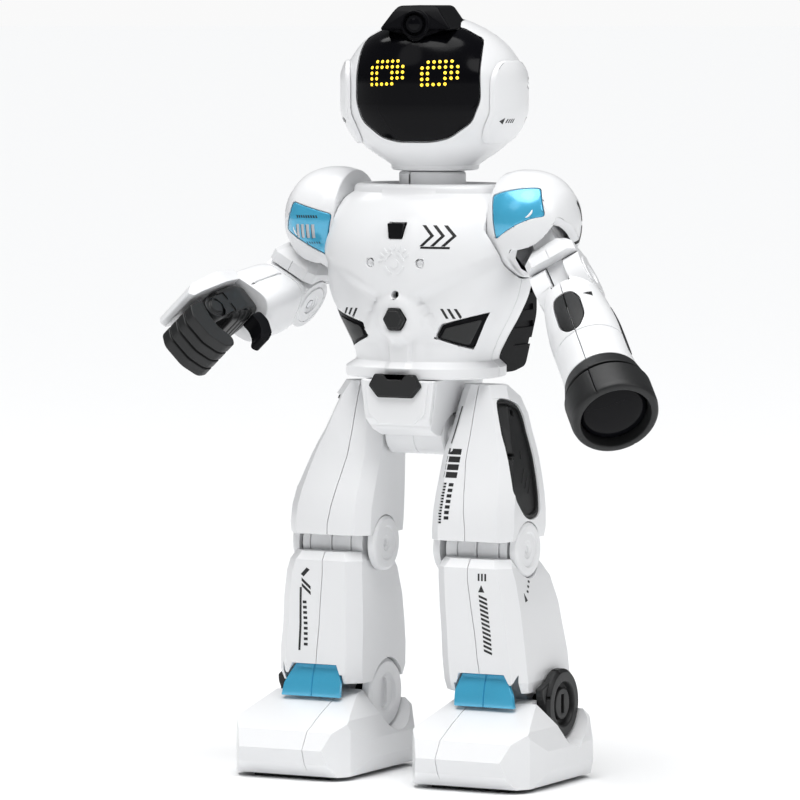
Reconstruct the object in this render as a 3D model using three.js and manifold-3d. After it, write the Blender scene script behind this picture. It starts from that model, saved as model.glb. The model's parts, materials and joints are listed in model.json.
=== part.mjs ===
// A walking toy robot, 360 mm tall, standing with its left arm out and its right hand raised.
// Millimetres, +Z up, the robot faces -Y and its left side is +X.
// Every coordinate is measured from the neck axis (x = y = 0) and the ground (z = 0);
// the last lines move the whole robot so that the origin is the bottom centre of its box.
import * as THREE from "three";
import { mergeVertices } from "three/addons/utils/BufferGeometryUtils.js";
import Module from "manifold-3d";

const wasm = await Module();
wasm.setup();

// ---- Driving dimensions ----
const GAP = 0.35; // between neighbouring pieces
const WALL = 2.4; // moulded shells
const SKIN = 1.2; // inlaid panels and windows
const FAR = 200; // reaches past the whole robot

const HEAD = { yaw: 11, split: 8, roundness: 2.15, earProud: 2.2 };
const NECK = { radius: 15.7, bottom: 268, top: 282.6 };
const LENS = { z: 351.5, radius: 5.6, front: -31.5 };
const TORSO = { split: -4, roundness: 2.7 };
const SHOULDER = { x: 58, z: 259, shaft: 6, pivotDrop: 4, opening: 13.4 };
const ARM = { upper: 35, elbowRadius: 12.5, halfWidth: 13 };
const POSE = {
  left: { swing: 29, spread: 34.5, elbow: 14, wrist: 0 },
  right: { swing: 2, spread: 30, elbow: 76, wrist: 70 },
};
const CUP = { top: -68.3, rim: -94, radius: 20.3, lens: 15.4 };
const HAND = { wrist: -42, pivotY: -1, pivotZ: -71, fingerWidth: 5.6, half: 12 };
const HIP = { y: -10, z: 160, bar: 9.5, barHalf: 15.4, stub: 5 };
const KNEE = { y: -17, z: 108.5, disc: 12.8, inner: 14.8, outer: 59.2, shaft: 3, lug: 8 };
const ANKLE = { y: -4, z: 36, hub: 16.4, inner: 22, outer: 71, hubDepth: 5, shaft: 4 };
const SHIELD = { from: 30, to: 61, radius: 33, wall: 2.4, bottom: 36.3, top: 51.6 };
const FOOT = { x: 46.7, width: 66, sole: 2.3, wheel: 8, wheelGap: 14 };

// Cross-sections: [z, x from, x to, y front, y back].
const TORSO_SECTIONS = [
  [187, -37, 37, -37, 23],
  [193, -37, 37, -37, 23],
  [195, -33, 33, -34, 22],
  [204, -36, 36, -34, 25],
  [215, -42, 42, -35.5, 28],
  [226, -47, 47, -38, 30],
  [240, -49, 49, -39, 31],
  [254, -48, 48, -37, 31],
  [266, -44, 44, -31, 28],
  [273, -37, 37, -25, 24],
  [277, -26, 26, -19, 19],
];
const HEAD_SECTIONS = [
  [283, -17, 17, -12, 21],
  [288, -24, 24, -19, 29],
  [293.5, -32, 32, -27, 36],
  [298, -36, 36, -30.5, 39.5],
  [305, -40, 40, -33.5, 42],
  [312, -42, 42, -35, 43],
  [326, -42, 42, -35, 43],
  [338, -37, 37, -32, 38],
  [346, -29, 29, -27, 31],
  [352, -18, 18, -15, 21],
  [355.5, -8, 8, -6, 13],
];
const THIGH_SECTIONS = [
  [113, 16, 58, -38, 5],
  [118, 16, 58.5, -38, 6],
  [150, 16, 54, -27, 8],
  [162, 17.8, 50, -22, 9],
  [178, 20, 45, -16, 7],
  [184, 20.6, 42, -13, -1],
];
const SHIN_SECTIONS = [
  [43, 22, 64, -34, 17],
  [48, 21.5, 65, -36, 19],
  [70, 20.5, 63, -37, 16],
  [95, 20, 60, -39, 8],
  [101, 20, 58, -39, 3],
  [105, 22, 56, -36, -1],
];
const LEFT_FOREARM_SECTIONS = [
  [-68, -17.5, 17.5, -17.5, 17.5],
  [-58, -16.8, 16.8, -16.8, 16.8],
  [-40, -16.8, 16.8, -16.8, 16.8],
  [-22, -15.4, 15.4, -15, 15],
  [-6, -13, 13, -12, 12],
];
const RIGHT_FOREARM_SECTIONS = [
  [-40, -13.5, 13.5, -13.5, 13.5],
  [-34, -14.5, 14.5, -14.5, 14.5],
  [-18, -14.5, 14.5, -14, 14],
  [-6, -13, 13, -12, 12],
];

// The shoulder cap's outline: [x outward from the shoulder centre, radius].
const CAP_PROFILE = [
  [-18, 23.5],
  [-10, 25],
  [-2, 24.5],
  [6, 21.5],
  [12, 16],
  [15, 11],
];
const CAP_INNER = SHOULDER.x + CAP_PROFILE[0][0];

// ---- Materials ----
const plastic = (color, roughness, metalness = 0) =>
  new THREE.MeshStandardMaterial({ color, roughness, metalness });
const WHITE = plastic(0xf1f2f4, 0.25);
const DARK = plastic(0x3b3d40, 0.45);
const BLACK = plastic(0x141416, 0.4);
const BLUE = plastic(0x3aa6dc, 0.28, 0.35);
const GLOSS_BLACK = plastic(0x08080a, 0.08);
const YELLOW = plastic(0xffc21a, 0.4);
const GREEN = plastic(0x2c6b45, 0.6);
const STEEL = plastic(0xb8bcc0, 0.3, 0.9);
const RUBBER = plastic(0x232325, 0.85);

// ---- Solid modelling ----

/** A closed three.js geometry as a solid. */
function solid(geometry, matrix = new THREE.Matrix4()) {
  const bare = new THREE.BufferGeometry();
  bare.setAttribute("position", geometry.getAttribute("position").clone());
  if (geometry.index) bare.setIndex(geometry.index.clone());
  bare.applyMatrix4(matrix);
  const merged = mergeVertices(bare, 1e-4);
  const corners = merged.index.array;
  const kept = [];
  for (let i = 0; i < corners.length; i += 3) {
    const [a, b, c] = [corners[i], corners[i + 1], corners[i + 2]];
    if (a !== b && b !== c && a !== c) kept.push(a, b, c);
  }
  return new wasm.Manifold(
    new wasm.Mesh({
      numProp: 3,
      vertProperties: new Float32Array(merged.attributes.position.array),
      triVerts: new Uint32Array(kept),
    }),
  );
}

const join = (...solids) => solids.reduce((a, b) => a.add(b));
const cut = (from, ...tools) => tools.reduce((a, b) => a.subtract(b), from);
const common = (...solids) => solids.reduce((a, b) => a.intersect(b));

/** A mesh from a solid. */
function piece(name, made, material) {
  const data = made.getMesh();
  const geometry = new THREE.BufferGeometry();
  const positions = new THREE.BufferAttribute(new Float32Array(data.vertProperties), 3);
  const corners = new THREE.BufferAttribute(new Uint32Array(data.triVerts), 1);
  geometry.setAttribute("position", positions);
  geometry.setIndex(corners);
  geometry.computeVertexNormals();
  const mesh = new THREE.Mesh(geometry, material);
  mesh.name = name;
  return mesh;
}

/** A group at a place, holding what is given. */
function groupAt(x, y, z, ...children) {
  const group = new THREE.Group();
  group.position.set(x, y, z);
  if (children.length) group.add(...children);
  return group;
}

/** The matrix that lays a shape drawn in two of the axes across the third. */
function across(axis, from, to) {
  const matrix = new THREE.Matrix4();
  if (axis === "x") matrix.set(0, 0, 1, from, 1, 0, 0, 0, 0, 1, 0, 0, 0, 0, 0, 1);
  if (axis === "y") matrix.set(1, 0, 0, 0, 0, 0, -1, to, 0, 1, 0, 0, 0, 0, 0, 1);
  if (axis === "z") matrix.makeTranslation(0, 0, from);
  return matrix;
}

/** A box between two corners. */
function box(x0, x1, y0, y1, z0, z1) {
  const place = new THREE.Matrix4().makeTranslation((x0 + x1) / 2, (y0 + y1) / 2, (z0 + z1) / 2);
  return solid(new THREE.BoxGeometry(x1 - x0, y1 - y0, z1 - z0), place);
}

/** An outline, drawn in the two other axes in their order x, y, z, taken along one axis. */
function prism(outline, axis, from, to) {
  const shape = new THREE.Shape(outline.map(([a, b]) => new THREE.Vector2(a, b)));
  const flat = new THREE.ExtrudeGeometry(shape, { depth: to - from, bevelEnabled: false });
  return solid(flat, across(axis, from, to));
}

/** Points of a circle, or of a regular polygon. */
function circle(radius, a = 0, b = 0, sides = 16, turn = 0) {
  return Array.from({ length: sides }, (_, i) => {
    const angle = turn + (2 * Math.PI * i) / sides;
    return [a + radius * Math.cos(angle), b + radius * Math.sin(angle)];
  });
}

/** A round rod along an axis; a and b place its centre in the two other axes. */
function rod(axis, radius, from, to, a = 0, b = 0, sides = 16) {
  return prism(circle(radius, a, b, sides), axis, from, to);
}

/** A profile of [height, radius] pairs turned about Z, or about X when it lies along X. */
function turned(profile, axis = "z", sides = 18) {
  const points = profile.map(([h, r]) => new THREE.Vector2(r, h));
  const lathe = new THREE.LatheGeometry(points, sides);
  const up = new THREE.Matrix4().makeRotationX(Math.PI / 2);
  const along = new THREE.Matrix4().makeRotationZ(-Math.PI / 2);
  return solid(lathe, axis === "z" ? up : along);
}

/** A body through flat sections, each a rounded oblong; a higher squareness has tighter corners. */
function loft(sections, squareness, inset = 0, count = 16) {
  const positions = [];
  const index = [];
  const bend = (value) => Math.sign(value) * Math.abs(value) ** (2 / squareness);
  for (const [z, x0, x1, y0, y1] of sections) {
    const [cx, cy] = [(x0 + x1) / 2, (y0 + y1) / 2];
    const [hx, hy] = [(x1 - x0) / 2 - inset, (y1 - y0) / 2 - inset];
    for (let k = 0; k < count; k++) {
      const angle = (2 * Math.PI * (k + 0.5)) / count;
      positions.push(cx + hx * bend(Math.cos(angle)), cy + hy * bend(Math.sin(angle)), z);
    }
  }
  for (let s = 0; s + 1 < sections.length; s++) {
    for (let k = 0; k < count; k++) {
      const [a, b] = [s * count + k, s * count + ((k + 1) % count)];
      index.push(a, b, b + count, a, b + count, a + count);
    }
  }
  const last = (sections.length - 1) * count;
  for (let k = 1; k + 1 < count; k++) {
    index.push(0, k + 1, k, last, last + k, last + k + 1);
  }
  const geometry = new THREE.BufferGeometry();
  geometry.setAttribute("position", new THREE.Float32BufferAttribute(positions, 3));
  geometry.setIndex(index);
  return solid(geometry);
}

/** A hollow loft whose cavity runs between two heights. */
function shell(sections, squareness, from, to) {
  const cavity = common(loft(sections, squareness, WALL), box(-FAR, FAR, -FAR, FAR, from, to));
  return cut(loft(sections, squareness), cavity);
}

/** The outer layer of a loft under an outline: the inlay, or the recess that holds it. */
function inlay(outer, inner, window) {
  return common(cut(outer, inner), window);
}

/** An outline grown away from its centre by a clearance. */
function grown(outline, clearance) {
  const ca = outline.reduce((sum, p) => sum + p[0], 0) / outline.length;
  const cb = outline.reduce((sum, p) => sum + p[1], 0) / outline.length;
  return outline.map(([a, b]) => {
    const away = Math.hypot(a - ca, b - cb);
    return [a + ((a - ca) * clearance) / away, b + ((b - cb) * clearance) / away];
  });
}

/** The slab on one side of a seam drawn as [x, z] points from the bottom up. */
function besideSeam(seam, side) {
  const offset = (side * GAP) / 2;
  const line = seam.map(([x, z]) => [x + offset, z]);
  const edge = side * FAR;
  const outline = [[edge, seam[0][1]], ...line, [edge, seam.at(-1)[1]]];
  if (side > 0) outline.reverse();
  return prism(outline, "y", -FAR, FAR);
}

// ---- Head ----
// The right half of the visor's outline, from the top down.
const VISOR_HALF = [
  [17.8, 349.5],
  [28.3, 344],
  [29.2, 337],
  [29.6, 316],
  [26, 306.3],
  [16, 299],
  [8, 297.2],
];
// The camera pod from the front, and the room left for it in the head.
const POD = [
  [-17.5, 348.6],
  [-8.5, 348.6],
  [-1.5, 343.4],
  [1.5, 343.4],
  [8.5, 348.6],
  [17.5, 348.6],
  [9.4, 360],
  [-9.4, 360],
];
const POD_SEAT = [
  [-18.4, 348],
  [-8.9, 348],
  [-1.9, 342.8],
  [1.9, 342.8],
  [8.9, 348],
  [18.4, 348],
  [9.7, 361],
  [-9.7, 361],
];
// The camera pod from the side.
const POD_SIDE = [
  [-29.5, 342],
  [-29.5, 350],
  [-27.5, 357],
  [-25, 360],
  [3, 360],
  [3, 342],
];
// An ear cover from the side.
const EAR = [
  [-21.5, 302],
  [-16, 295.5],
  [4, 295.5],
  [11, 302],
  [11, 328],
  [5, 334.5],
  [-15, 334.5],
  [-21.5, 328],
];

/** Both sides of an outline that is given for +x only. */
const bothSides = (half) => [...half, ...half.map(([x, z]) => [-x, z]).reverse()];

/** The head's loft, shrunk by an inset. */
const headBody = (inset = 0) => loft(HEAD_SECTIONS, HEAD.roundness, inset);

function earCover(side) {
  const [from, to] = side > 0 ? [28, 50] : [-50, -28];
  const blank = common(prism(EAR, "x", from, to), headBody(-HEAD.earProud));
  return piece(side > 0 ? "ear_cover_left" : "ear_cover_right", cut(blank, headBody(-GAP)), WHITE);
}

function head() {
  const visorOutline = bothSides(VISOR_HALF);
  const podSeat = prism(POD_SEAT, "y", -40, 3.6);
  const visorPlate = inlay(headBody(), headBody(2 * SKIN), prism(visorOutline, "y", -FAR, -5));
  const seatZone = prism(grown(visorOutline, GAP), "y", -FAR, -5);
  const visorSeat = inlay(headBody(-1), headBody(2 * SKIN + GAP), seatZone);
  const visorHole = prism(grown(visorOutline, -2.5), "y", -FAR, -5);
  const neckHole = rod("z", NECK.radius - 3, 270, 300);
  const podBody = common(prism(POD, "y", -30, 3), prism(POD_SIDE, "x", -20, 20));
  const pod = join(podBody, rod("y", LENS.radius, LENS.front, -28, 0, LENS.z));
  const hollow = shell(HEAD_SECTIONS, HEAD.roundness, 280, 350);
  const closed = cut(hollow, visorSeat, visorHole, neckHole, podSeat);
  const front = common(closed, box(-FAR, FAR, -FAR, HEAD.split - GAP / 2, 0, 400));
  const rear = common(closed, box(-FAR, FAR, HEAD.split + GAP / 2, FAR, 0, 400));
  const display = box(-24, 24, -19, -16, 318, 338);
  const tube = cut(
    rod("z", NECK.radius, NECK.bottom, NECK.top),
    rod("z", NECK.radius - WALL, NECK.bottom - 1, NECK.top + 1),
  );
  return groupAt(
    0,
    0,
    0,
    piece("head_front_shell", front, WHITE),
    piece("head_rear_shell", rear, WHITE),
    piece("visor", cut(visorPlate, podSeat), GLOSS_BLACK),
    piece("camera_pod", pod, BLACK),
    piece("eye_display", display, YELLOW),
    piece("neck_tube", tube, WHITE),
    earCover(-1),
    earCover(1),
  );
}

// ---- Torso and pelvis ----
const VENT = [
  [18, 206.5],
  [31, 201.5],
  [39.5, 218],
  [21, 212.5],
];
const BUTTON = { z: 215, radius: 5.6, front: -41, back: -32, boss: 9 };
const SENSOR = [
  [-3.5, 252.5],
  [3.2, 252.5],
  [4.2, 259.5],
  [-4.2, 259.5],
];
const BELT = [
  [9, 178.5],
  [13.7, 184],
  [10.5, 189.5],
  [6.2, 189.5],
  [4.8, 187],
];
const SWITCH = { z: 238, half: 3, length: 6, travel: 4 };

/** The torso's loft, shrunk by an inset. */
const torsoBody = (inset = 0) => loft(TORSO_SECTIONS, TORSO.roundness, inset);

/** The wall behind one shoulder cap, and the round room it turns in. */
function capSeat(side) {
  const face = CAP_INNER - GAP;
  const wall = side > 0 ? [face - WALL, face] : [-face, WALL - face];
  const room = side > 0 ? [face, FAR] : [-FAR, -face];
  const radius = CAP_PROFILE[1][1];
  return {
    wall: common(torsoBody(), rod("x", radius + 3, ...wall, 0, SHOULDER.z)),
    room: rod("x", radius + 0.8, ...room, 0, SHOULDER.z, 24),
  };
}

function torso() {
  const outer = torsoBody();
  const skin = torsoBody(SKIN);
  const seat = torsoBody(SKIN + GAP);
  const proud = torsoBody(-1);
  const boss = rod("y", BUTTON.boss, -38.5, -30, 0, BUTTON.z, 24);
  const seats = [capSeat(-1), capSeat(1)];
  let walls = join(shell(TORSO_SECTIONS, TORSO.roundness, 190, 272), boss, ...seats.map((s) => s.wall));
  const hexagon = circle(BUTTON.radius, 0, BUTTON.z, 6);
  walls = cut(
    walls,
    ...seats.map((s) => s.room),
    rod("z", NECK.radius + 0.6, 260, 290),
    rod("x", SHOULDER.shaft + 0.5, -FAR, FAR, 0, SHOULDER.z),
    prism(grown(hexagon, GAP), "y", -50, -25),
    prism(grown(SENSOR, GAP), "y", -50, -25),
    rod("z", 9, 180, 195, 0, -8),
  );
  const vents = [-1, 1].map((side) => {
    const outline = VENT.map(([x, z]) => [side * x, z]);
    const name = side > 0 ? "side_vent_left" : "side_vent_right";
    walls = cut(walls, inlay(proud, seat, prism(grown(outline, GAP), "y", -FAR, -5)));
    return piece(name, inlay(outer, skin, prism(outline, "y", -FAR, -8)), DARK);
  });
  const front = common(walls, box(-FAR, FAR, -FAR, TORSO.split - GAP / 2, 0, 300));
  const rear = common(walls, box(-FAR, FAR, TORSO.split + GAP / 2, FAR, 0, 300));
  return [
    piece("torso_front_shell", front, WHITE),
    piece("torso_rear_shell", rear, WHITE),
    piece("sensor_window", prism(SENSOR, "y", -37.6, -34.5), GLOSS_BLACK),
    piece("main_board", box(-24, 24, 4, 6, 204, 244), GREEN),
    ...vents,
  ];
}

function pelvis() {
  const block = loft(
    [
      [160, -15.2, 15.2, -24, 8],
      [166, -16, 16, -34, 14],
      [172, -17, 17, -36.5, 16],
      [186.6, -19, 19, -36.5, 16],
    ],
    6,
  );
  const hollow = box(-13, 13, -33, 13, 150, 183);
  const bearing = rod("x", HIP.bar + GAP, -FAR, FAR, HIP.y, HIP.z);
  const bar = join(
    rod("x", HIP.bar, -HIP.barHalf, HIP.barHalf, HIP.y, HIP.z),
    rod("x", HIP.stub, -28, 28, HIP.y, HIP.z, 16),
  );
  return [
    piece("pelvis_shell", cut(block, hollow, bearing), WHITE),
    piece("hip_axle", bar, WHITE),
    piece("belt_plate", prism(bothSides(BELT), "y", -39.4, -37.4), DARK),
  ];
}

function backpack() {
  const profile = [
    [10, 262],
    [44, 262],
    [50, 252],
    [50, 214],
    [38, 190],
    [26, 188],
    [10, 188],
  ];
  const slot = box(
    -SWITCH.length / 2 - GAP - SWITCH.travel / 2,
    SWITCH.length / 2 + GAP + SWITCH.travel / 2,
    47.5,
    60,
    SWITCH.z - SWITCH.half - GAP,
    SWITCH.z + SWITCH.half + GAP,
  );
  const pack = cut(
    prism(profile, "x", -30, 30),
    torsoBody(-GAP),
    box(-27, 27, 20, 47, 193, 259),
    slot,
  );
  return piece("backpack", pack, BLACK);
}

function powerSwitch() {
  const x0 = -SWITCH.length / 2 - SWITCH.travel / 2;
  const [z0, z1] = [SWITCH.z - SWITCH.half, SWITCH.z + SWITCH.half];
  return piece("power_switch", box(x0, x0 + SWITCH.length, 47.9, 50.6, z0, z1), DARK);
}

function abdomenButton() {
  const hexagon = circle(BUTTON.radius, 0, BUTTON.z, 6);
  return piece("abdomen_button", prism(hexagon, "y", BUTTON.front, BUTTON.back), DARK);
}

// ---- Arms ----
// The arm hangs straight down in its own frame: +x is outward, -y is the front.
const CAP_PANEL = [
  [-16.5, 2.5],
  [-13, -17],
  [9, -5],
  [5, 8],
];

/** The cap's body of revolution about X, shrunk by an inset. */
function capBody(inset = 0) {
  const rim = CAP_PROFILE.map(([x, r]) => [x > 0 ? x - inset * (x / 15) : x + inset * (x / -18), r - inset]);
  return turned([[rim[0][0], 0], ...rim, [rim.at(-1)[0], 0]], "x");
}

function shoulderCap(side) {
  const drop = -SHOULDER.pivotDrop;
  const armOpening = prism(
    [
      [-8.5, -40],
      [30, -40],
      [30, -1],
      [16, -1],
      [-8.5, -23],
    ],
    "y",
    -SHOULDER.opening,
    SHOULDER.opening,
  );
  const lugs = [rod("y", 4.5, -22, -9.8, 0, drop), rod("y", 4.5, 9.8, 22, 0, drop)];
  const panelSeat = common(cut(capBody(-1), capBody(SKIN + GAP)), prism(grown(CAP_PANEL, GAP), "y", -40, -4));
  const panel = common(cut(capBody(), capBody(SKIN)), prism(CAP_PANEL, "y", -40, -4));
  const cap = join(cut(capBody(), capBody(WALL + 0.6)), ...lugs, rod("x", SHOULDER.shaft, -26, -15));
  return [
    piece(`${side}_shoulder_cap`, cut(cap, armOpening, panelSeat), WHITE),
    piece(`${side}_shoulder_panel`, panel, BLUE),
  ];
}

function upperArm(side) {
  const elbow = -ARM.upper;
  const block = loft(
    [
      [elbow + 11, -12.5, 12.5, -12.5, 12.5],
      [-19, -12.5, 12.5, -12.5, 12.5],
      [-14, -9.5, 9.5, -9.5, 9.5],
    ],
    5,
  );
  const tongue = join(box(-4, 4, -6, 6, elbow, -16), rod("x", 6, -4, 4, 0, elbow, 24));
  const head = cut(block, rod("x", ARM.elbowRadius + 0.5, -FAR, FAR, 0, elbow));
  const root = join(rod("y", 7, -9.3, 9.3), box(-5.5, 5.5, -8, 8, -15, 0));
  const whole = join(head, tongue, root);
  return piece(`${side}_upper_arm`, cut(whole, rod("x", 2.4, -20, 20, 0, elbow, 16)), WHITE);
}

/** The rounded top of a forearm, with the slot that takes the upper arm's tongue. */
function forearm(sections, squareness, bottom) {
  const body = join(
    shell(sections, squareness, bottom - 1, -17),
    rod("x", ARM.elbowRadius, -ARM.halfWidth, ARM.halfWidth),
  );
  const slot = join(rod("x", 8, -4.6, 4.6), box(-4.6, 4.6, -20, 8, -8, 20));
  return cut(body, slot, rod("x", 2 + GAP, -20, 20, 0, 0, 16));
}

function elbowPin(side) {
  return piece(`${side}_elbow_pin`, rod("x", 2, -12.6, 12.6, 0, 0, 16), STEEL);
}

function leftForearm() {
  const body = forearm(LEFT_FOREARM_SECTIONS, 2, CUP.top + 0.3);
  const outer = loft(LEFT_FOREARM_SECTIONS, 2);
  const oval = circle(1, 0, 0, 20).map(([a, b]) => [6.5 * a, -31 + 14 * b]);
  const window = inlay(outer, loft(LEFT_FOREARM_SECTIONS, 2, SKIN), prism(oval, "y", -40, -5));
  const seat = inlay(
    loft(LEFT_FOREARM_SECTIONS, 2, -1),
    loft(LEFT_FOREARM_SECTIONS, 2, SKIN + GAP),
    prism(grown(oval, GAP), "y", -40, -5),
  );
  const seam = [
    [0, -80],
    [0, 20],
  ];
  const halves = [
    ["left_forearm_inner", -1],
    ["left_forearm_outer", 1],
  ].map(([name, way]) => piece(name, common(cut(body, seat), besideSeam(seam, way)), WHITE));
  return [...halves, piece("left_forearm_window", window, GLOSS_BLACK)];
}

function hornCup() {
  const profile = [
    [CUP.top, 14.5],
    [CUP.top, 17.8],
    [-76, 19.3],
    [-76, 18],
    [-78, 18],
    [-78, CUP.radius],
    [-92, CUP.radius],
    [CUP.rim, 19.2],
    [CUP.rim, 16.4],
    [-87, 15.8],
    [-87, 0],
    [-84, 0],
    [-84, 14.5],
    [CUP.top, 14.5],
  ].reverse();
  return piece("left_horn_cup", turned(profile), DARK);
}

function hornLens() {
  const profile = [
    [-91.5, 0],
    [-90.6, CUP.lens - 3],
    [-89.6, CUP.lens],
    [-87.4, CUP.lens],
    [-87.4, 0],
  ];
  return piece("left_horn_lens", turned(profile), GLOSS_BLACK);
}

function rightForearm() {
  return piece("right_forearm_shell", forearm(RIGHT_FOREARM_SECTIONS, 4, -40), WHITE);
}

function palm() {
  const block = loft(
    [
      [-63, -HAND.half, HAND.half, -9.6, 7],
      [-50, -HAND.half, HAND.half, -9.6, 8],
      [HAND.wrist, -10, 10, -8, 7],
    ],
    6,
  );
  const cheeks = [-1, 1].map((end) => {
    const [from, to] = end > 0 ? [8, 12] : [-12, -8];
    return join(
      rod("x", 5.7, from, to, HAND.pivotY, HAND.pivotZ),
      box(from, to, HAND.pivotY - 5.5, HAND.pivotY + 5.5, HAND.pivotZ, -60),
    );
  });
  return piece("right_palm", join(block, ...cheeks), DARK);
}

function handCover() {
  const profile = [
    [-10, -42.5],
    [-10, -79],
    [-12.5, -81],
    [-15.5, -77],
    [-16.5, -60],
    [-15.5, -41],
    [-12, -40.5],
  ];
  const outline = bothSides([
    [11, -83],
    [14, -74],
    [14.5, -55],
    [11, -38],
  ]);
  const cover = common(prism(profile, "x", -16, 16), prism(outline, "y", -20, 20));
  return piece("right_hand_cover", cover, WHITE);
}

/** Four fingers moulded in one, bent down from the knuckle hinge, drawn about the hinge axis. */
function fingers() {
  const profile = [
    [-6, -5],
    [-6, -14],
    [0, -18],
    [12, -17],
    [20, -12],
    [21, -6],
    [17, -3.5],
    [9, -7.5],
    [2, -7.2],
  ];
  const bar = prism(profile, "x", -HAND.half, HAND.half);
  const grooves = [-1, 0, 1].flatMap((n) => {
    const x = n * (HAND.fingerWidth + 0.4);
    return [box(x - 0.4, x + 0.4, -3, 30, -25, -15.4)];
  });
  const knuckle = join(rod("x", 5, -7.6, 7.6, 0, 0, 16), box(-7.6, 7.6, -4, 4, -8, 0));
  return piece("right_fingers", join(cut(bar, ...grooves), knuckle), DARK);
}

function thumb() {
  const hook = [
    [8.4, -44],
    [14, -43],
    [21, -47],
    [24, -54],
    [21, -57],
    [17.5, -52],
    [13, -50],
    [8.4, -51],
  ];
  return piece("right_thumb", prism(hook, "x", -11, -3), BLACK);
}

/** Turns a group forward (+) about X, outward (+) about Y and round Z, in degrees. */
function turn(group, forward, outward, round) {
  const rad = THREE.MathUtils.degToRad;
  group.rotation.set(-rad(forward), -rad(outward), rad(round));
  return group;
}

function arm(side) {
  const pose = POSE[side];
  const hand = side === "left" ? [hornCup(), hornLens()] : [palm(), handCover(), thumb()];
  const wrist = turn(groupAt(0, 0, 0, ...hand), 0, 0, pose.wrist);
  if (side === "right") wrist.add(groupAt(0, HAND.pivotY, HAND.pivotZ, fingers()));
  const lower = side === "left" ? leftForearm() : [rightForearm()];
  const elbow = turn(groupAt(0, 0, -ARM.upper, ...lower, elbowPin(side), wrist), pose.elbow, 0, 0);
  const spread = turn(groupAt(0, 0, -SHOULDER.pivotDrop, upperArm(side), elbow), 0, pose.spread, 0);
  const shoulder = turn(groupAt(0, 0, 0, ...shoulderCap(side), spread), pose.swing, 0, 0);
  wrist.name = `${side}_wrist_turn`;
  elbow.name = `${side}_elbow_bend`;
  spread.name = `${side}_arm_spread`;
  shoulder.name = `${side}_shoulder_swing`;
  const sign = side === "left" ? 1 : -1;
  shoulder.position.set(SHOULDER.x * sign, 0, SHOULDER.z);
  shoulder.scale.x = sign;
  return shoulder;
}

// ---- Legs ----
// Both legs are drawn for the left side; the right one is mirrored.
const THIGH_SEAM = [
  [36, 90],
  [36, 118],
  [31, 150],
  [31, 200],
];
const SHIN_SEAM = [
  [43, 20],
  [43, 50],
  [38, 95],
  [38, 130],
];
const BATTERY_DOOR = [
  [-14, 178],
  [-16.5, 172],
  [-28, 134],
  [-20, 124.5],
  [-12, 122.4],
  [-4, 124],
  [-3, 131],
  [0, 168],
  [-2, 174],
];

function thigh(side) {
  const roundness = 5;
  const outer = loft(THIGH_SECTIONS, roundness);
  const pocket = box(27, 47, KNEE.y - 11, KNEE.y + 11, 90, 122);
  const skin = loft(THIGH_SECTIONS, roundness, SKIN);
  const seatZone = prism(grown(BATTERY_DOOR, GAP), "x", 40, 80);
  const doorSeat = inlay(
    loft(THIGH_SECTIONS, roundness, -1),
    loft(THIGH_SECTIONS, roundness, SKIN + GAP),
    seatZone,
  );
  const body = cut(
    shell(THIGH_SECTIONS, roundness, 124, 181),
    pocket,
    rod("x", KNEE.disc + 0.4, 0, 19.4, KNEE.y, KNEE.z),
    rod("x", KNEE.disc + 0.4, 54.6, 80, KNEE.y, KNEE.z),
    rod("x", KNEE.shaft + 0.4, 0, 80, KNEE.y, KNEE.z, 16),
    rod("x", HIP.stub + 0.4, 0, 30, HIP.y, HIP.z, 16),
    doorSeat,
  );
  const door = inlay(outer, skin, prism(BATTERY_DOOR, "x", 40, 80));
  return [
    piece(`${side}_thigh_inner`, common(body, besideSeam(THIGH_SEAM, -1)), WHITE),
    piece(`${side}_thigh_outer`, common(body, besideSeam(THIGH_SEAM, 1)), WHITE),
    piece(`${side}_battery_door`, door, DARK),
    piece(`${side}_knee_axle`, kneeAxle(), WHITE),
  ];
}

function kneeAxle() {
  return join(
    rod("x", KNEE.disc, KNEE.inner, 19, KNEE.y, KNEE.z),
    rod("x", KNEE.disc, 55, KNEE.outer, KNEE.y, KNEE.z),
    rod("x", KNEE.shaft, 18, 56, KNEE.y, KNEE.z, 16),
  );
}

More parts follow.
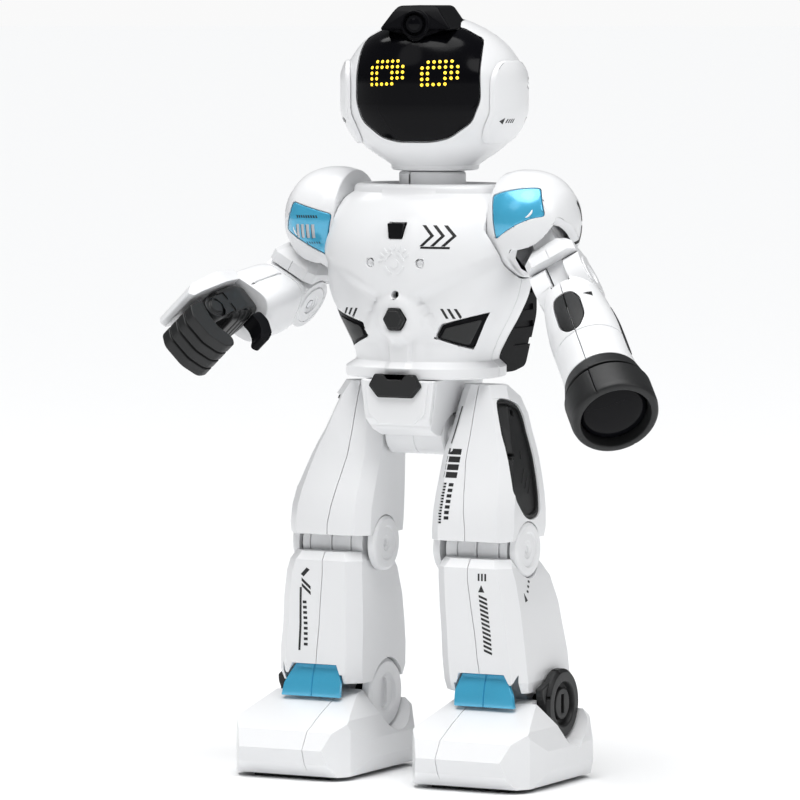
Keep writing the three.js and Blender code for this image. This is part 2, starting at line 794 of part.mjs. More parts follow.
function shin(side) {
  const roundness = 5;
  const floor = [61, 65];
  const openBottom = common(loft(SHIN_SECTIONS, roundness, WALL), box(-FAR, FAR, -FAR, FAR, 40, floor[0]));
  const kneeLug = join(
    rod("x", KNEE.lug, 30, 44, KNEE.y, KNEE.z, 16),
    box(30, 44, KNEE.y - KNEE.lug, KNEE.y + KNEE.lug, 98, KNEE.z),
  );
  const ankleLug = join(
    rod("x", 9, 37, 56, ANKLE.y, ANKLE.z, 16),
    box(37, 56, ANKLE.y - 9, ANKLE.y + 9, ANKLE.z, floor[0] + 1),
  );
  const [shield0, shield1] = [SHIELD.from - 0.6, SHIELD.to + 0.6];
  const shieldSweep = join(
    cut(
      rod("x", SHIELD.radius + 0.5, shield0, shield1, ANKLE.y, ANKLE.z, 36),
      box(20, 70, -20, 60, 0, 80),
    ),
    box(shield0, shield1, -60, -20, 30, SHIELD.top + 1),
  );
  const body = cut(
    join(cut(shell(SHIN_SECTIONS, roundness, floor[1], 101), openBottom), kneeLug, ankleLug),
    rod("x", KNEE.disc + 0.4, 54.6, 80, KNEE.y, KNEE.z),
    rod("x", KNEE.shaft + 0.4, 0, 80, KNEE.y, KNEE.z, 16),
    shieldSweep,
    rod("x", ANKLE.shaft + 0.4, 0, 80, ANKLE.y, ANKLE.z, 16),
    rod("x", ANKLE.hub + 0.5, 0, ANKLE.inner + ANKLE.hubDepth + GAP, ANKLE.y, ANKLE.z),
    rod("x", ANKLE.hub + 0.5, ANKLE.outer - ANKLE.hubDepth - GAP, 80, ANKLE.y, ANKLE.z),
  );
  const axle = join(
    rod("x", ANKLE.hub, ANKLE.inner, ANKLE.inner + ANKLE.hubDepth, ANKLE.y, ANKLE.z),
    rod("x", ANKLE.hub, ANKLE.outer - ANKLE.hubDepth, ANKLE.outer, ANKLE.y, ANKLE.z),
    rod("x", ANKLE.shaft, ANKLE.inner + 1, ANKLE.outer - 1, ANKLE.y, ANKLE.z, 16),
  );
  return [
    piece(`${side}_shin_inner`, common(body, besideSeam(SHIN_SEAM, -1)), WHITE),
    piece(`${side}_shin_outer`, common(body, besideSeam(SHIN_SEAM, 1)), WHITE),
    piece(`${side}_ankle_axle`, axle, DARK),
  ];
}

function foot(side) {
  const [x0, x1] = [FOOT.x - FOOT.width / 2, FOOT.x + FOOT.width / 2];
  const sideView = [
    [-58, 2],
    [15, 2],
    [17, 8],
    [17, 22],
    [14, 30],
    [9, 36],
    [-16, 40],
    [-28, 38],
    [-60, 24],
    [-66, 15],
  ];
  const plan = [
    [x0 + 6, 17],
    [x0, 8],
    [x0, -48],
    [x0 + 9, -66],
    [x1 - 9, -66],
    [x1, -48],
    [x1, 8],
    [x1 - 6, 17],
  ];
  const frontView = [
    [x0 + 1.5, 2],
    [x1 - 1.5, 2],
    [x1, 14],
    [x1 - 1, 26],
    [x1 - 12, 40],
    [x0 + 12, 40],
    [x0 + 1, 26],
    [x0, 14],
  ];
  const profile = prism(sideView, "x", x0, x1);
  const outer = common(profile, prism(plan, "z", 0, 50), prism(frontView, "y", -70, 40));
  const inside = common(
    box(x0 + 3, x1 - 3, -60, 14, 0, 17),
    prism(grown(plan, -3.5), "z", 0, 50),
  );
  const ankleWell = join(
    rod("x", ANKLE.hub + 0.6, ANKLE.inner - 0.6, ANKLE.outer + 0.6, ANKLE.y, ANKLE.z),
    box(ANKLE.inner - 0.6, ANKLE.outer + 0.6, ANKLE.y - 17, ANKLE.y + 17, ANKLE.z, 60),
  );
  const shinWell = box(ANKLE.inner - 3, ANKLE.outer - 3, -21, 30, 33.5, 60);
  const shield = common(
    rod("x", SHIELD.radius, SHIELD.from, SHIELD.to, ANKLE.y, ANKLE.z, 36),
    box(0, 80, -40, -20, SHIELD.bottom, SHIELD.top),
  );
  const shieldInner = rod("x", SHIELD.radius - SHIELD.wall, 0, 80, ANKLE.y, ANKLE.z, 36);
  const sole = solesAndPads(x0, x1);
  const wheels = join(
    ...[-1, 1].map((end) => {
      const centre = FOOT.x + end * FOOT.wheelGap;
      return rod("x", FOOT.wheel, centre - 3.5, centre + 3.5, ANKLE.y, FOOT.wheel);
    }),
    rod("x", 2, FOOT.x - 20, FOOT.x + 20, ANKLE.y, FOOT.wheel, 16),
  );
  const axleRoom = box(FOOT.x - 22, FOOT.x + 22, ANKLE.y - 9.5, ANKLE.y + 9.5, 0, 17);
  return [
    piece(`${side}_foot_shell`, cut(outer, inside, ankleWell, shinWell, axleRoom), WHITE),
    piece(`${side}_ankle_cover`, cut(shield, shieldInner), BLUE),
    piece(`${side}_foot_sole`, sole, DARK),
    piece(`${side}_drive_wheels`, wheels, RUBBER),
  ];
}

/** The plate that closes a foot, with its wheel slots and its toe and heel pads. */
function solesAndPads(x0, x1) {
  const plate = box(x0 + 9, x1 - 9, -54, 12.5, FOOT.sole, FOOT.sole + 2.5);
  const pads = [
    [-53, -41],
    [5.5, 12],
  ].map(([from, to]) => box(FOOT.x - 20, FOOT.x + 20, from, to, 0, FOOT.sole + 1));
  const slots = [-1, 1].map((end) => {
    const centre = FOOT.x + end * FOOT.wheelGap;
    return box(centre - 4.4, centre + 4.4, ANKLE.y - 9, ANKLE.y + 9, 0, 10);
  });
  return cut(join(plate, ...pads), ...slots);
}

function leg(side) {
  const whole = groupAt(0, 0, 0, ...thigh(side), ...shin(side), ...foot(side));
  whole.scale.x = side === "left" ? 1 : -1;
  return whole;
}

// ---- The whole robot ----
const headGroup = head();
headGroup.rotation.z = THREE.MathUtils.degToRad(HEAD.yaw);
const robot = groupAt(
  0,
  0,
  0,
  headGroup,
  ...torso(),
  ...pelvis(),
  backpack(),
  powerSwitch(),
  abdomenButton(),
  arm("left"),
  arm("right"),
  leg("left"),
  leg("right"),
);
const bounds = new THREE.Box3().setFromObject(robot, true);
const middle = bounds.getCenter(new THREE.Vector3());
robot.position.set(-middle.x, -middle.y, -bounds.min.z);

export default robot;
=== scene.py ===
"""The looks of a walking toy robot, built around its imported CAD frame.

Shapes are drawn in millimetres, in the same frames as the CAD: x = y = 0 is the neck axis, z = 0 the
ground, the robot faces -Y and its left side is +X. An arm hangs straight down in a frame of its own.
A place is the matrix that carries such a frame to the row frame, in metres.
"""

import json
import math
from itertools import pairwise

import bmesh
import bpy
from mathutils import Matrix, Vector
from mathutils.bvhtree import BVHTree

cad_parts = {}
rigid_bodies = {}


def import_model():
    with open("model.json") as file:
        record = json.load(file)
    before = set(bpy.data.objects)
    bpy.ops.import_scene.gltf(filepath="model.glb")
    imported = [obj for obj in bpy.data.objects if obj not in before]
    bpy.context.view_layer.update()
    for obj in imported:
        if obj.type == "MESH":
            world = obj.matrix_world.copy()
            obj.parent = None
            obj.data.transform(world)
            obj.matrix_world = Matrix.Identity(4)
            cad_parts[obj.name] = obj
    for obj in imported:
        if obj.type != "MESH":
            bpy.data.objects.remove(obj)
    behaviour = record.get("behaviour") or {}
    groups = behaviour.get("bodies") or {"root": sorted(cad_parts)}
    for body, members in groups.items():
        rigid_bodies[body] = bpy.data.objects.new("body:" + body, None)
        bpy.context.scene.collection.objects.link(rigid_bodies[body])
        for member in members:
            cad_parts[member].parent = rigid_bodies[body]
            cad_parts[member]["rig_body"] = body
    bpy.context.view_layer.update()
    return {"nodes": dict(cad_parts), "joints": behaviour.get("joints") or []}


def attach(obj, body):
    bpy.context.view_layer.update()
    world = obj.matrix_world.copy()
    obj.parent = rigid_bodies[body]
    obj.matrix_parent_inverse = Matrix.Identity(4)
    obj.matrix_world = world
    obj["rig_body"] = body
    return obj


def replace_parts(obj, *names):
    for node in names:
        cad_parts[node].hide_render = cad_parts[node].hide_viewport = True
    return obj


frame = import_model()

# ---- Driving dimensions ----
MM = 0.001
FAR = 200  # reaches past the whole robot
GAP = 0.35  # between neighbouring pieces

HEAD_YAW, HEAD_SPLIT = 11, 8
NECK = {"radius": 15.7, "bottom": 268, "top": 282.6}
TORSO_SPLIT = -4
SHOULDER = {"x": 58, "z": 259, "shaft": 6, "drop": 4}
ARM = {"upper": 35, "elbow": 12.5, "half": 13}
POSE = {
    "left": {"swing": 29, "spread": 34.5, "elbow": 14, "wrist": 0},
    "right": {"swing": 2, "spread": 30, "elbow": 76, "wrist": 70},
}
CUP = {"top": -68.3, "rim": -94, "radius": 20.3, "lens": 15.4}
HAND = {"y": -1, "z": -71, "half": 12, "finger": 5.6}
HIP = {"y": -10, "z": 160, "bar": 9.5, "half": 15.4, "stub": 5}
KNEE = {"y": -17, "z": 108.5, "disc": 12.8, "shaft": 3}
ANKLE = {"y": -4, "z": 36, "hub": 16.4, "inner": 22, "outer": 71}
SHIELD = {"from": 30, "to": 61, "radius": 33, "wall": 2.4, "bottom": 36.4, "top": 51.6}
FOOT = {"x": 46.7, "width": 66, "wheel": 8, "wheel_gap": 14}

neck = Vector(next(j["pos_m"] for j in frame["joints"] if j["name"] == "head_turn"))
ROBOT = Matrix.Translation((neck.x, neck.y, 0)) @ Matrix.Scale(MM, 4)
MIRROR = Matrix.Scale(-1, 4, (1, 0, 0))
SIDES = ((1, "left"), (-1, "right"))


def span(side, near, far):
    """A stretch between two distances from the middle, on one side, lowest first."""
    return sorted((side * near, side * far))


def at(x, y, z):
    return Matrix.Translation((x, y, z))


def turn(degrees, axis):
    return Matrix.Rotation(math.radians(degrees), 4, axis)


# ---- Materials ----
def node_tree(material):
    """A material's shader, its links and a function that adds nodes."""
    material.use_nodes = True
    nodes, links = material.node_tree.nodes, material.node_tree.links

    def add(kind, settings=None, **inputs):
        node = nodes.new(kind)
        for name, value in (settings or {}).items():
            setattr(node, name, value)
        for name, value in inputs.items():
            socket = node.inputs[name.replace("_", " ")]
            if isinstance(value, bpy.types.NodeSocket):
                links.new(value, socket)
            else:
                socket.default_value = value
        return node

    return nodes["Principled BSDF"], links, add


def moulded(name, colour, roughness, mottle=0.04, grain=0.12, size=2200, coat=0.0, **fixed):
    """Moulded plastic: faint colour clouds, patchy gloss with fine scuffs, and a pebbled skin."""
    material = bpy.data.materials.new(name)
    shader, links, add = node_tree(material)
    spot = add("ShaderNodeTexCoord").outputs["Object"]
    clouds = add("ShaderNodeTexNoise", Vector=spot, Scale=45.0, Detail=3.0)
    darker = [c * (1 - mottle) for c in colour] + [1]
    lighter = [min(1.0, c * (1 + mottle)) for c in colour] + [1]
    tint = add("ShaderNodeMix", {"data_type": "RGBA"})
    links.new(clouds.outputs["Fac"], tint.inputs[0])
    tint.inputs[6].default_value = darker
    tint.inputs[7].default_value = lighter
    links.new(tint.outputs[2], shader.inputs["Base Color"])
    scuffs = add("ShaderNodeTexNoise", Vector=spot, Scale=260.0, Detail=8.0, Distortion=1.5)
    gloss = add(
        "ShaderNodeMapRange", Value=scuffs.outputs["Fac"],
        From_Min=0.3, From_Max=0.75, To_Min=roughness * 0.94, To_Max=roughness * 1.08,
    )
    links.new(gloss.outputs["Result"], shader.inputs["Roughness"])
    pebbles = add("ShaderNodeTexNoise", Vector=spot, Scale=float(size), Detail=3.0)
    bump = add("ShaderNodeBump", Strength=grain, Distance=0.00012, Height=pebbles.outputs["Fac"])
    links.new(bump.outputs["Normal"], shader.inputs["Normal"])
    shader.inputs["Coat Weight"].default_value = coat
    shader.inputs["Coat Roughness"].default_value = 0.06
    for socket, value in fixed.items():
        shader.inputs[socket.replace("_", " ")].default_value = value
    return material


def pearl_blue():
    """Blue lacquer with fine bright flakes in it."""
    material = moulded("blue_pearl", (0.07, 0.45, 0.7), 0.24, 0.1, 0.05, 2600, 0.8, Metallic=0.25)
    shader, links, add = node_tree(material)
    spot = add("ShaderNodeTexCoord").outputs["Object"]
    flakes = add("ShaderNodeTexVoronoi", Vector=spot, Scale=3200.0)
    sparkle = add(
        "ShaderNodeMapRange", Value=flakes.outputs["Distance"],
        From_Min=0.05, From_Max=0.3, To_Min=0.35, To_Max=0.0,
    )
    base = shader.inputs["Base Color"].links[0].from_socket
    mix = add("ShaderNodeMix", {"data_type": "RGBA"})
    links.new(sparkle.outputs["Result"], mix.inputs[0])
    links.new(base, mix.inputs[6])
    mix.inputs[7].default_value = (0.35, 0.75, 0.95, 1)
    links.new(mix.outputs[2], shader.inputs["Base Color"])
    return material


def glowing(name, colour, strength):
    """A plastic that glows in its own mottled colour."""
    material = moulded(name, colour, 0.35, 0.1, 0.05)
    shader, links, _ = node_tree(material)
    links.new(shader.inputs["Base Color"].links[0].from_socket, shader.inputs["Emission Color"])
    shader.inputs["Emission Strength"].default_value = strength
    return material


def brushed_steel():
    """Turned steel with fine rings of brushing."""
    material = moulded("steel", (0.55, 0.56, 0.58), 0.28, 0.05, 0.1, 900, Metallic=1.0)
    shader, links, add = node_tree(material)
    spot = add("ShaderNodeTexCoord").outputs["Object"]
    lines = add("ShaderNodeTexWave", Vector=spot, Scale=900.0, Distortion=2.0)
    bump = add("ShaderNodeBump", Strength=0.15, Distance=0.00005, Height=lines.outputs["Fac"])
    links.new(bump.outputs["Normal"], shader.inputs["Normal"])
    return material


LOOKS = {
    "white": (
        moulded("white_plastic", (0.82, 0.825, 0.835), 0.3, 0.004, 0.005, 1800, 0.1),
        "white_shell",
    ),
    "dark": (
        moulded("dark_plastic", (0.017, 0.0175, 0.018), 0.42, 0.08, 0.2, 2600, Specular_IOR_Level=0.3),
        "dark_grey",
    ),
    "black": (
        moulded("black_plastic", (0.004, 0.004, 0.005), 0.36, 0.1, 0.18, 2600, Specular_IOR_Level=0.06),
        "black_satin",
    ),
    "gloss": (
        moulded("black_lens", (0.003, 0.003, 0.004), 0.14, 0.1, 0.01, 900, Specular_IOR_Level=0.1),
        "black_gloss",
    ),
    "blue": (pearl_blue(), "blue_pearl"),
    "yellow": (glowing("lit_yellow", (1.0, 0.62, 0.04), 1.3), "display_yellow"),
    "board": (moulded("board_green", (0.03, 0.2, 0.09), 0.5, 0.25, 0.3, 1200), "board_green"),
    "steel": (brushed_steel(), "steel"),
    "rubber": (moulded("rubber", (0.018, 0.018, 0.02), 0.75, 0.12, 0.5, 1400), "tyre_rubber"),
    "ink": (moulded("black_print", (0.01, 0.01, 0.011), 0.45, 0.15, 0.1, 3000), "black_satin"),
    "silver": (
        moulded("silver_print", (0.52, 0.54, 0.57), 0.35, 0.08, 0.1, 3000, Metallic=0.4),
        "white_shell",
    ),
}


# ---- Closed meshes, in millimetres ----
def solid(points, faces):
    """A closed mesh with its faces pointing out."""
    shape = bmesh.new()
    verts = [shape.verts.new(p) for p in points]
    for face in faces:
        corners = list(dict.fromkeys(face))
        if len(corners) > 2:
            shape.faces.new([verts[k] for k in corners])
    bmesh.ops.recalc_face_normals(shape, faces=shape.faces)
    mesh = bpy.data.meshes.new("solid")
    shape.to_mesh(mesh)
    shape.free()
    return mesh


def prism(outline, axis, start, end):
    """An outline, drawn in the two other axes in their order x, y, z, taken along one axis."""
    order = {"x": (2, 0, 1), "y": (0, 2, 1), "z": (0, 1, 2)}[axis]
    points = [[(a, b, t)[k] for k in order] for t in (start, end) for a, b in outline]
    count = len(outline)
    faces = [range(count), range(2 * count - 1, count - 1, -1)]
    faces += [(k, (k + 1) % count, (k + 1) % count + count, k + count) for k in range(count)]
    return solid(points, faces)


def rectangle(a0, a1, b0, b1):
    return [(a0, b0), (a1, b0), (a1, b1), (a0, b1)]


def block(x0, x1, y0, y1, z0, z1):
    return prism(rectangle(x0, x1, y0, y1), "z", z0, z1)


def arc(radius, a, b, start, end, steps=24):
    """Points on an arc, from one angle to another in degrees."""
    angles = [math.radians(start + (end - start) * k / steps) for k in range(steps + 1)]
    return [(a + radius * math.cos(t), b + radius * math.sin(t)) for t in angles]


def ring_part(inner, outer, a, b, start, end, steps=24):
    """The outline of a piece of a ring."""
    return arc(outer, a, b, start, end, steps) + arc(inner, a, b, end, start, steps)


def circle(radius, a=0, b=0, steps=40):
    return arc(radius, a, b, 0, 360, steps)[:-1]


def rod(axis, radius, start, end, a=0, b=0, steps=40):
    return prism(circle(radius, a, b, steps), axis, start, end)


def soft(outline, radius, steps=4):
    """An outline with its corners rounded."""
    points = [Vector(p) for p in outline]
    made = []
    for k, corner in enumerate(points):
        ways = [points[k - 1] - corner, points[(k + 1) % len(points)] - corner]
        start, end = (corner + way.normalized() * min(radius, 0.45 * way.length) for way in ways)
        for step in range(steps + 1):
            t = step / steps
            made.append(tuple((1 - t) ** 2 * start + 2 * t * (1 - t) * corner + t * t * end))
    return made


def grown(outline, clearance):
    """An outline grown away from its centre."""
    centre = sum((Vector(p) for p in outline), Vector((0, 0))) / len(outline)
    return [tuple(Vector(p) + (Vector(p) - centre).normalized() * clearance) for p in outline]


def both_sides(half):
    """The outline whose one half, drawn at positive x, is mirrored to the other side."""
    return [*half, *[(-x, z) for x, z in reversed(half)]]


def flipped(outline):
    return [(-x, z) for x, z in outline]


def turned(profile, axis="z", steps=56):
    """A profile of (height, radius) pairs turned about Z or X; it closes on the axis or on itself."""
    points = []
    for h, r in profile:
        for k in range(steps):
            angle = 2 * math.pi * k / steps
            across = (r * math.cos(angle), r * math.sin(angle))
            points.append((h, *across) if axis == "x" else (*across, h))
    rows = len(profile)
    on_axis = [r < 1e-6 for h, r in profile]
    faces = []
    for s in range(rows if not on_axis[0] else rows - 1):
        t = (s + 1) % rows
        for k in range(steps):
            n = (k + 1) % steps
            low = (s * steps, s * steps) if on_axis[s] else (s * steps + k, s * steps + n)
            high = (t * steps, t * steps) if on_axis[t] else (t * steps + n, t * steps + k)
            faces.append((*low, *high))
    used = sorted({corner for face in faces for corner in face})
    place = {old: new for new, old in enumerate(used)}
    return solid([points[k] for k in used], [[place[c] for c in face] for face in faces])


def refined(sections, step):
    """Closely spaced sections on a smooth curve through the given ones, which start with their height."""

    def slope(k, column):
        rises = [
            (after[column] - before[column]) / (after[0] - before[0])
            for before, after in pairwise(sections[max(k - 1, 0) : k + 2])
        ]
        if min(rises) * max(rises) <= 0:
            return 0
        return sum(rises) / len(rises)

    made = []
    for k, (low, high) in enumerate(pairwise(sections)):
        rise = high[0] - low[0]
        count = max(1, round(rise / step))
        for part in range(count):
            t = part / count
            row = [low[0] + t * rise]
            for column in range(1, len(low)):
                m0, m1 = slope(k, column) * rise, slope(k + 1, column) * rise
                p0, p1 = low[column], high[column]
                row.append(
                    (2 * t**3 - 3 * t**2 + 1) * p0
                    + (t**3 - 2 * t**2 + t) * m0
                    + (3 * t**2 - 2 * t**3) * p1
                    + (t**3 - t**2) * m1
                )
            made.append(row)
    return [*made, list(sections[-1])]


def rounded_ends(sections, bottom, top, steps=4):
    """The sections with each end rounded over by a radius, its last section staying where it is."""

    def end(rim, radius, way):
        rows = []
        for k in range(1, steps + 1):
            angle = 0.5 * math.pi * k / steps
            inset = radius * (1 - math.cos(angle))
            z = rim[0] + way * radius * (math.sin(angle) - 1)
            rows.append([z, rim[1] + inset, rim[2] - inset, rim[3] + inset, rim[4] - inset])
        return rows

    kept = [s for s in sections if sections[0][0] + bottom < s[0] < sections[-1][0] - top]
    low, high = kept[0], kept[-1]
    first = end([sections[0][0], *low[1:]], bottom, -1)[::-1] if bottom else [sections[0]]
    last = end([sections[-1][0], *high[1:]], top, 1) if top else [sections[-1]]
    return [*first, *kept, *last]


def tube(rings):
    """A closed mesh through rings of points, with flat ends."""
    count = len(rings[0])
    faces = [range(count), range(len(rings) * count - count, len(rings) * count)]
    for s in range(len(rings) - 1):
        for k in range(count):
            a, b = s * count + k, s * count + (k + 1) % count
            faces.append((a, b, b + count, a + count))
    return solid([p for ring in rings for p in ring], faces)


def loft(sections, power, inset=0.0, step=2.5, count=72, bottom=0.0, top=0.0):
    """A body through sections [z, x0, x1, y0, y1], each a rounded oblong; a high power is squarer."""
    rings = []
    for z, x0, x1, y0, y1 in rounded_ends(refined(sections, step), bottom, top):
        ring = []
        for k in range(count):
            angle = 2 * math.pi * (k + 0.5) / count
            c, s = math.cos(angle), math.sin(angle)
            reach = (abs(c) ** power + abs(s) ** power) ** (-1 / power)
            x = (x0 + x1) / 2 + ((x1 - x0) / 2 - inset) * reach * c
            y = (y0 + y1) / 2 + ((y1 - y0) / 2 - inset) * reach * s
            ring.append((x, y, z))
        rings.append(ring)
    return tube(rings)


def faceted(sections, front, back, inset=0.0, step=6.0):
    """A body through sections [z, x0, x1, y0, y1], each an oblong with its corners cut off."""
    rings = []
    for z, x0, x1, y0, y1 in refined(sections, step):
        x0, x1, y0, y1 = x0 + inset, x1 - inset, y0 + inset, y1 - inset
        f, b = min(front, (x1 - x0) / 3), min(back, (x1 - x0) / 3)
        ring = [(x0 + f, y0), (x1 - f, y0), (x1, y0 + f), (x1, y1 - b)]
        ring += [(x1 - b, y1), (x0 + b, y1), (x0, y1 - b), (x0, y0 + f)]
        rings.append([(x, y, z) for x, y in ring])
    return tube(rings)


def linked(name, data):
    """A new object, put in the scene."""
    made = bpy.data.objects.new(name, data)
    bpy.context.scene.collection.objects.link(made)
    return made


def combined(operation, base, tools):
    """The base joined with, cut by or limited to the tools."""
    subject = linked("subject", base)
    for tool in tools:
        other = linked("tool", tool)
        modifier = subject.modifiers.new("combine", "BOOLEAN")
        modifier.operation = operation
        modifier.solver = "EXACT"
        modifier.object = other
    depsgraph = bpy.context.evaluated_depsgraph_get()
    made = bpy.data.meshes.new_from_object(subject.evaluated_get(depsgraph))
    for modifier in subject.modifiers:
        bpy.data.objects.remove(modifier.object)
    bpy.data.objects.remove(subject)
    return made


def cut(base, *tools):
    return combined("DIFFERENCE", base, tools)


def join(base, *tools):
    return combined("UNION", base, tools)


def common(base, *tools):
    return combined("INTERSECT", base, tools)


def moved(mesh, shift):
    """Each point of a mesh moved by what the function gives for it."""
    for vertex in mesh.vertices:
        vertex.co += Vector(shift(vertex.co))
    return mesh


def smoothstep(value):
    t = min(1.0, max(0.0, value))
    return t * t * (3 - 2 * t)


def seam_side(seam, side):
    """The slab on one side of a seam drawn as (x, z) points from the bottom up."""
    line = [(x + side * GAP / 2, z) for x, z in seam]
    return prism([(side * FAR, seam[0][1]), *line, (side * FAR, seam[-1][1])], "y", -FAR, FAR)


# ---- Pieces ----
def shaped(name, mesh, place, body, look, bevel=0.4, angle=30, segments=2, clamp=False):
    """A finished piece: its sharp edges bevelled, placed in the row frame, and riding on its body."""
    shape = bmesh.new()
    shape.from_mesh(mesh)
    bmesh.ops.remove_doubles(shape, verts=shape.verts, dist=0.03)
    if bevel:
        limit = math.radians(angle)
        edges = [e for e in shape.edges if e.is_manifold and e.calc_face_angle(0) > limit]
        bmesh.ops.bevel(
            shape, geom=edges, offset=bevel, offset_type="OFFSET", segments=segments,
            profile=0.5, affect="EDGES", clamp_overlap=clamp,
        )
    for face in shape.faces:
        face.smooth = True
    shape.transform(place)
    if place.determinant() < 0:
        bmesh.ops.reverse_faces(shape, faces=shape.faces)
    made = bpy.data.meshes.new(name)
    shape.to_mesh(made)
    shape.free()
    made.set_sharp_from_angle(angle=math.radians(50))
    piece = linked(name, made)
    material, slot = LOOKS[look]
    made.materials.append(material)
    weighted = piece.modifiers.new("weighted_normals", "WEIGHTED_NORMAL")
    weighted.keep_sharp = True
    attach(piece, body)
    return piece


def body_of(node):
    return frame["nodes"][node]["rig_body"]


def moulding(node, mesh, place, look, **finish):
    """The detailed piece that stands for a CAD node."""
    piece = shaped(f"{node}_moulding", mesh, place, body_of(node), look, **finish)
    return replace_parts(piece, node)


def surface_of(*pieces):
    """A search tree over the surfaces of pieces, in the row frame."""
    points, faces = [], []
    for piece in pieces:
        start = len(points)
        points += [v.co.copy() for v in piece.data.vertices]
        faces += [[start + v for v in polygon.vertices] for polygon in piece.data.polygons]
    return BVHTree.FromPolygons(points, faces)


PRINT_STEP = 1.6  # between the cuts that let a print follow a curved surface


def print_on(name, outlines, pieces, place, node, look, axis="y", side=-1, lift=0.07, depth=0.3):
    """Thin print laid on the surface of pieces, its outlines drawn as for a prism along the axis."""
    order = {"x": (2, 0, 1), "y": (0, 2, 1), "z": (0, 1, 2)}[axis]
    target = surface_of(*pieces)
    toward = Vector([(0, 0, -side)[k] for k in order])
    direction = (place.to_3x3() @ toward).normalized()
    shape = bmesh.new()
    for outline in outlines:
        shape.faces.new([shape.verts.new((a, b, 0)) for a, b in outline])
    bmesh.ops.triangulate(shape, faces=shape.faces)
    extent = [f(v.co[k] for v in shape.verts) for k in (0, 1) for f in (min, max)]
    for k in (0, 1):
        low, high = extent[2 * k], extent[2 * k + 1]
        for line in range(1, int((high - low) / PRINT_STEP) + 1):
            spot = [0, 0, 0]
            spot[k] = low + line * PRINT_STEP
            normal = [float(n == k) for n in range(3)]
            everything = [*shape.verts, *shape.edges, *shape.faces]
            bmesh.ops.bisect_plane(shape, geom=everything, plane_co=spot, plane_no=normal)
    missed = []
    for vertex in shape.verts:
        flat = (vertex.co.x, vertex.co.y, side * FAR)
        start = place @ Vector([flat[k] for k in order])
        hit, normal, _, _ = target.ray_cast(start, direction)
        if hit is None:
            missed.append(vertex)
        else:
            vertex.co = hit
    bmesh.ops.delete(shape, geom=missed, context="VERTS")
    grown_up = bmesh.ops.extrude_face_region(shape, geom=shape.faces[:])["geom"]
    top = {v for v in grown_up if isinstance(v, bmesh.types.BMVert)}
    for vertex in shape.verts:
        vertex.co += direction * MM * (-lift if vertex in top else depth)
    bmesh.ops.recalc_face_normals(shape, faces=shape.faces)
    mesh = bpy.data.meshes.new(name)
    shape.to_mesh(mesh)
    shape.free()
    piece = linked(name, mesh)
    material, slot = LOOKS[look]
    mesh.materials.append(material)
    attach(piece, body_of(node))
    return piece


def slanted_bars(count, a, b, width, height, pitch, slant):
    """A row of slanted strokes; a and b are the middle of the first."""
    bars = []
    for k in range(count):
        x, half, lean = a + k * pitch, width / 2, slant / 2
        low, high = b - height / 2, b + height / 2
        bars.append([
            (x - half - lean, low), (x + half - lean, low),
            (x + half + lean, high), (x - half + lean, high),
        ])
    return bars


def upright_bars(count, a, b, width, height, pitch):
    """A column of bars; a and b are the middle of the first, at the top."""
    return [
        rectangle(a - width / 2, a + width / 2, z - height / 2, z + height / 2)
        for z in (b - k * pitch for k in range(count))
    ]


def chevron(a, b, size, way=1):
    """An arrow head of two strokes, pointing along the first axis."""
    thick = 0.38 * size * way
    tip = size * 0.5 * way
    return [
        [(a - tip, b + size), (a - tip + thick, b + size), (a + tip + thick, b), (a + tip, b)],
        [(a - tip, b - size), (a + tip, b), (a + tip + thick, b), (a - tip + thick, b - size)],
    ]


# ---- Head ----
HEAD_SECTIONS = [
    [283, -17, 17, -12, 21],
    [288, -24, 24, -19, 29],
    [293.5, -32, 32, -27, 36],
    [298, -36, 36, -30.5, 39.5],
    [305, -40, 40, -33.5, 42],
    [312, -42, 42, -35, 43],
    [326, -42, 42, -35, 43],
    [338, -37, 37, -32, 38],
    [346, -29, 29, -27, 31],
    [352, -18, 18, -15, 21],
    [355.5, -8, 8, -6, 13],
]
VISOR_HALF = [(17.8, 349.5), (28.3, 344), (29.2, 337), (29.6, 316), (26, 306.3), (16, 299), (8, 297.2)]
EAR_TRIM = {"front": 7, "bottom": 303, "top": 331}
EAR = [(-21.5, 302), (-16, 295.5), (4, 295.5), (11, 302), (11, 328), (5, 334.5), (-15, 334.5), (-21.5, 328)]
EYE = {"x": 12.6, "z": 329, "pitch_x": 2.65, "pitch_z": 2.6, "dot": 0.8}
DOT_RINGS = [(1, -0.15), (0.95, 0.08), (0.6, 0.2), (0.2, 0.25)]  # part of the radius, height
DOT_CORNERS = 12
EYE_ROWS = [(1, 2, 3, 4, 5), (0, 1, 2, 3, 4, 5, 6), (0, 1, 4, 5, 6), (0, 1, 4, 5, 6), (0, 1, 2, 3, 4)]
POD = soft([
    (-17.5, 348.6), (-8.5, 348.6), (-1.5, 343.4), (1.5, 343.4),
    (8.5, 348.6), (17.5, 348.6), (9.4, 360), (-9.4, 360),
], 2)
POD_SIDE = [(-29.4, 342), (-29.4, 350), (-27.5, 357), (-25, 360), (3, 360), (3, 342)]
LENS = {"z": 351.5, "radius": 6.2}


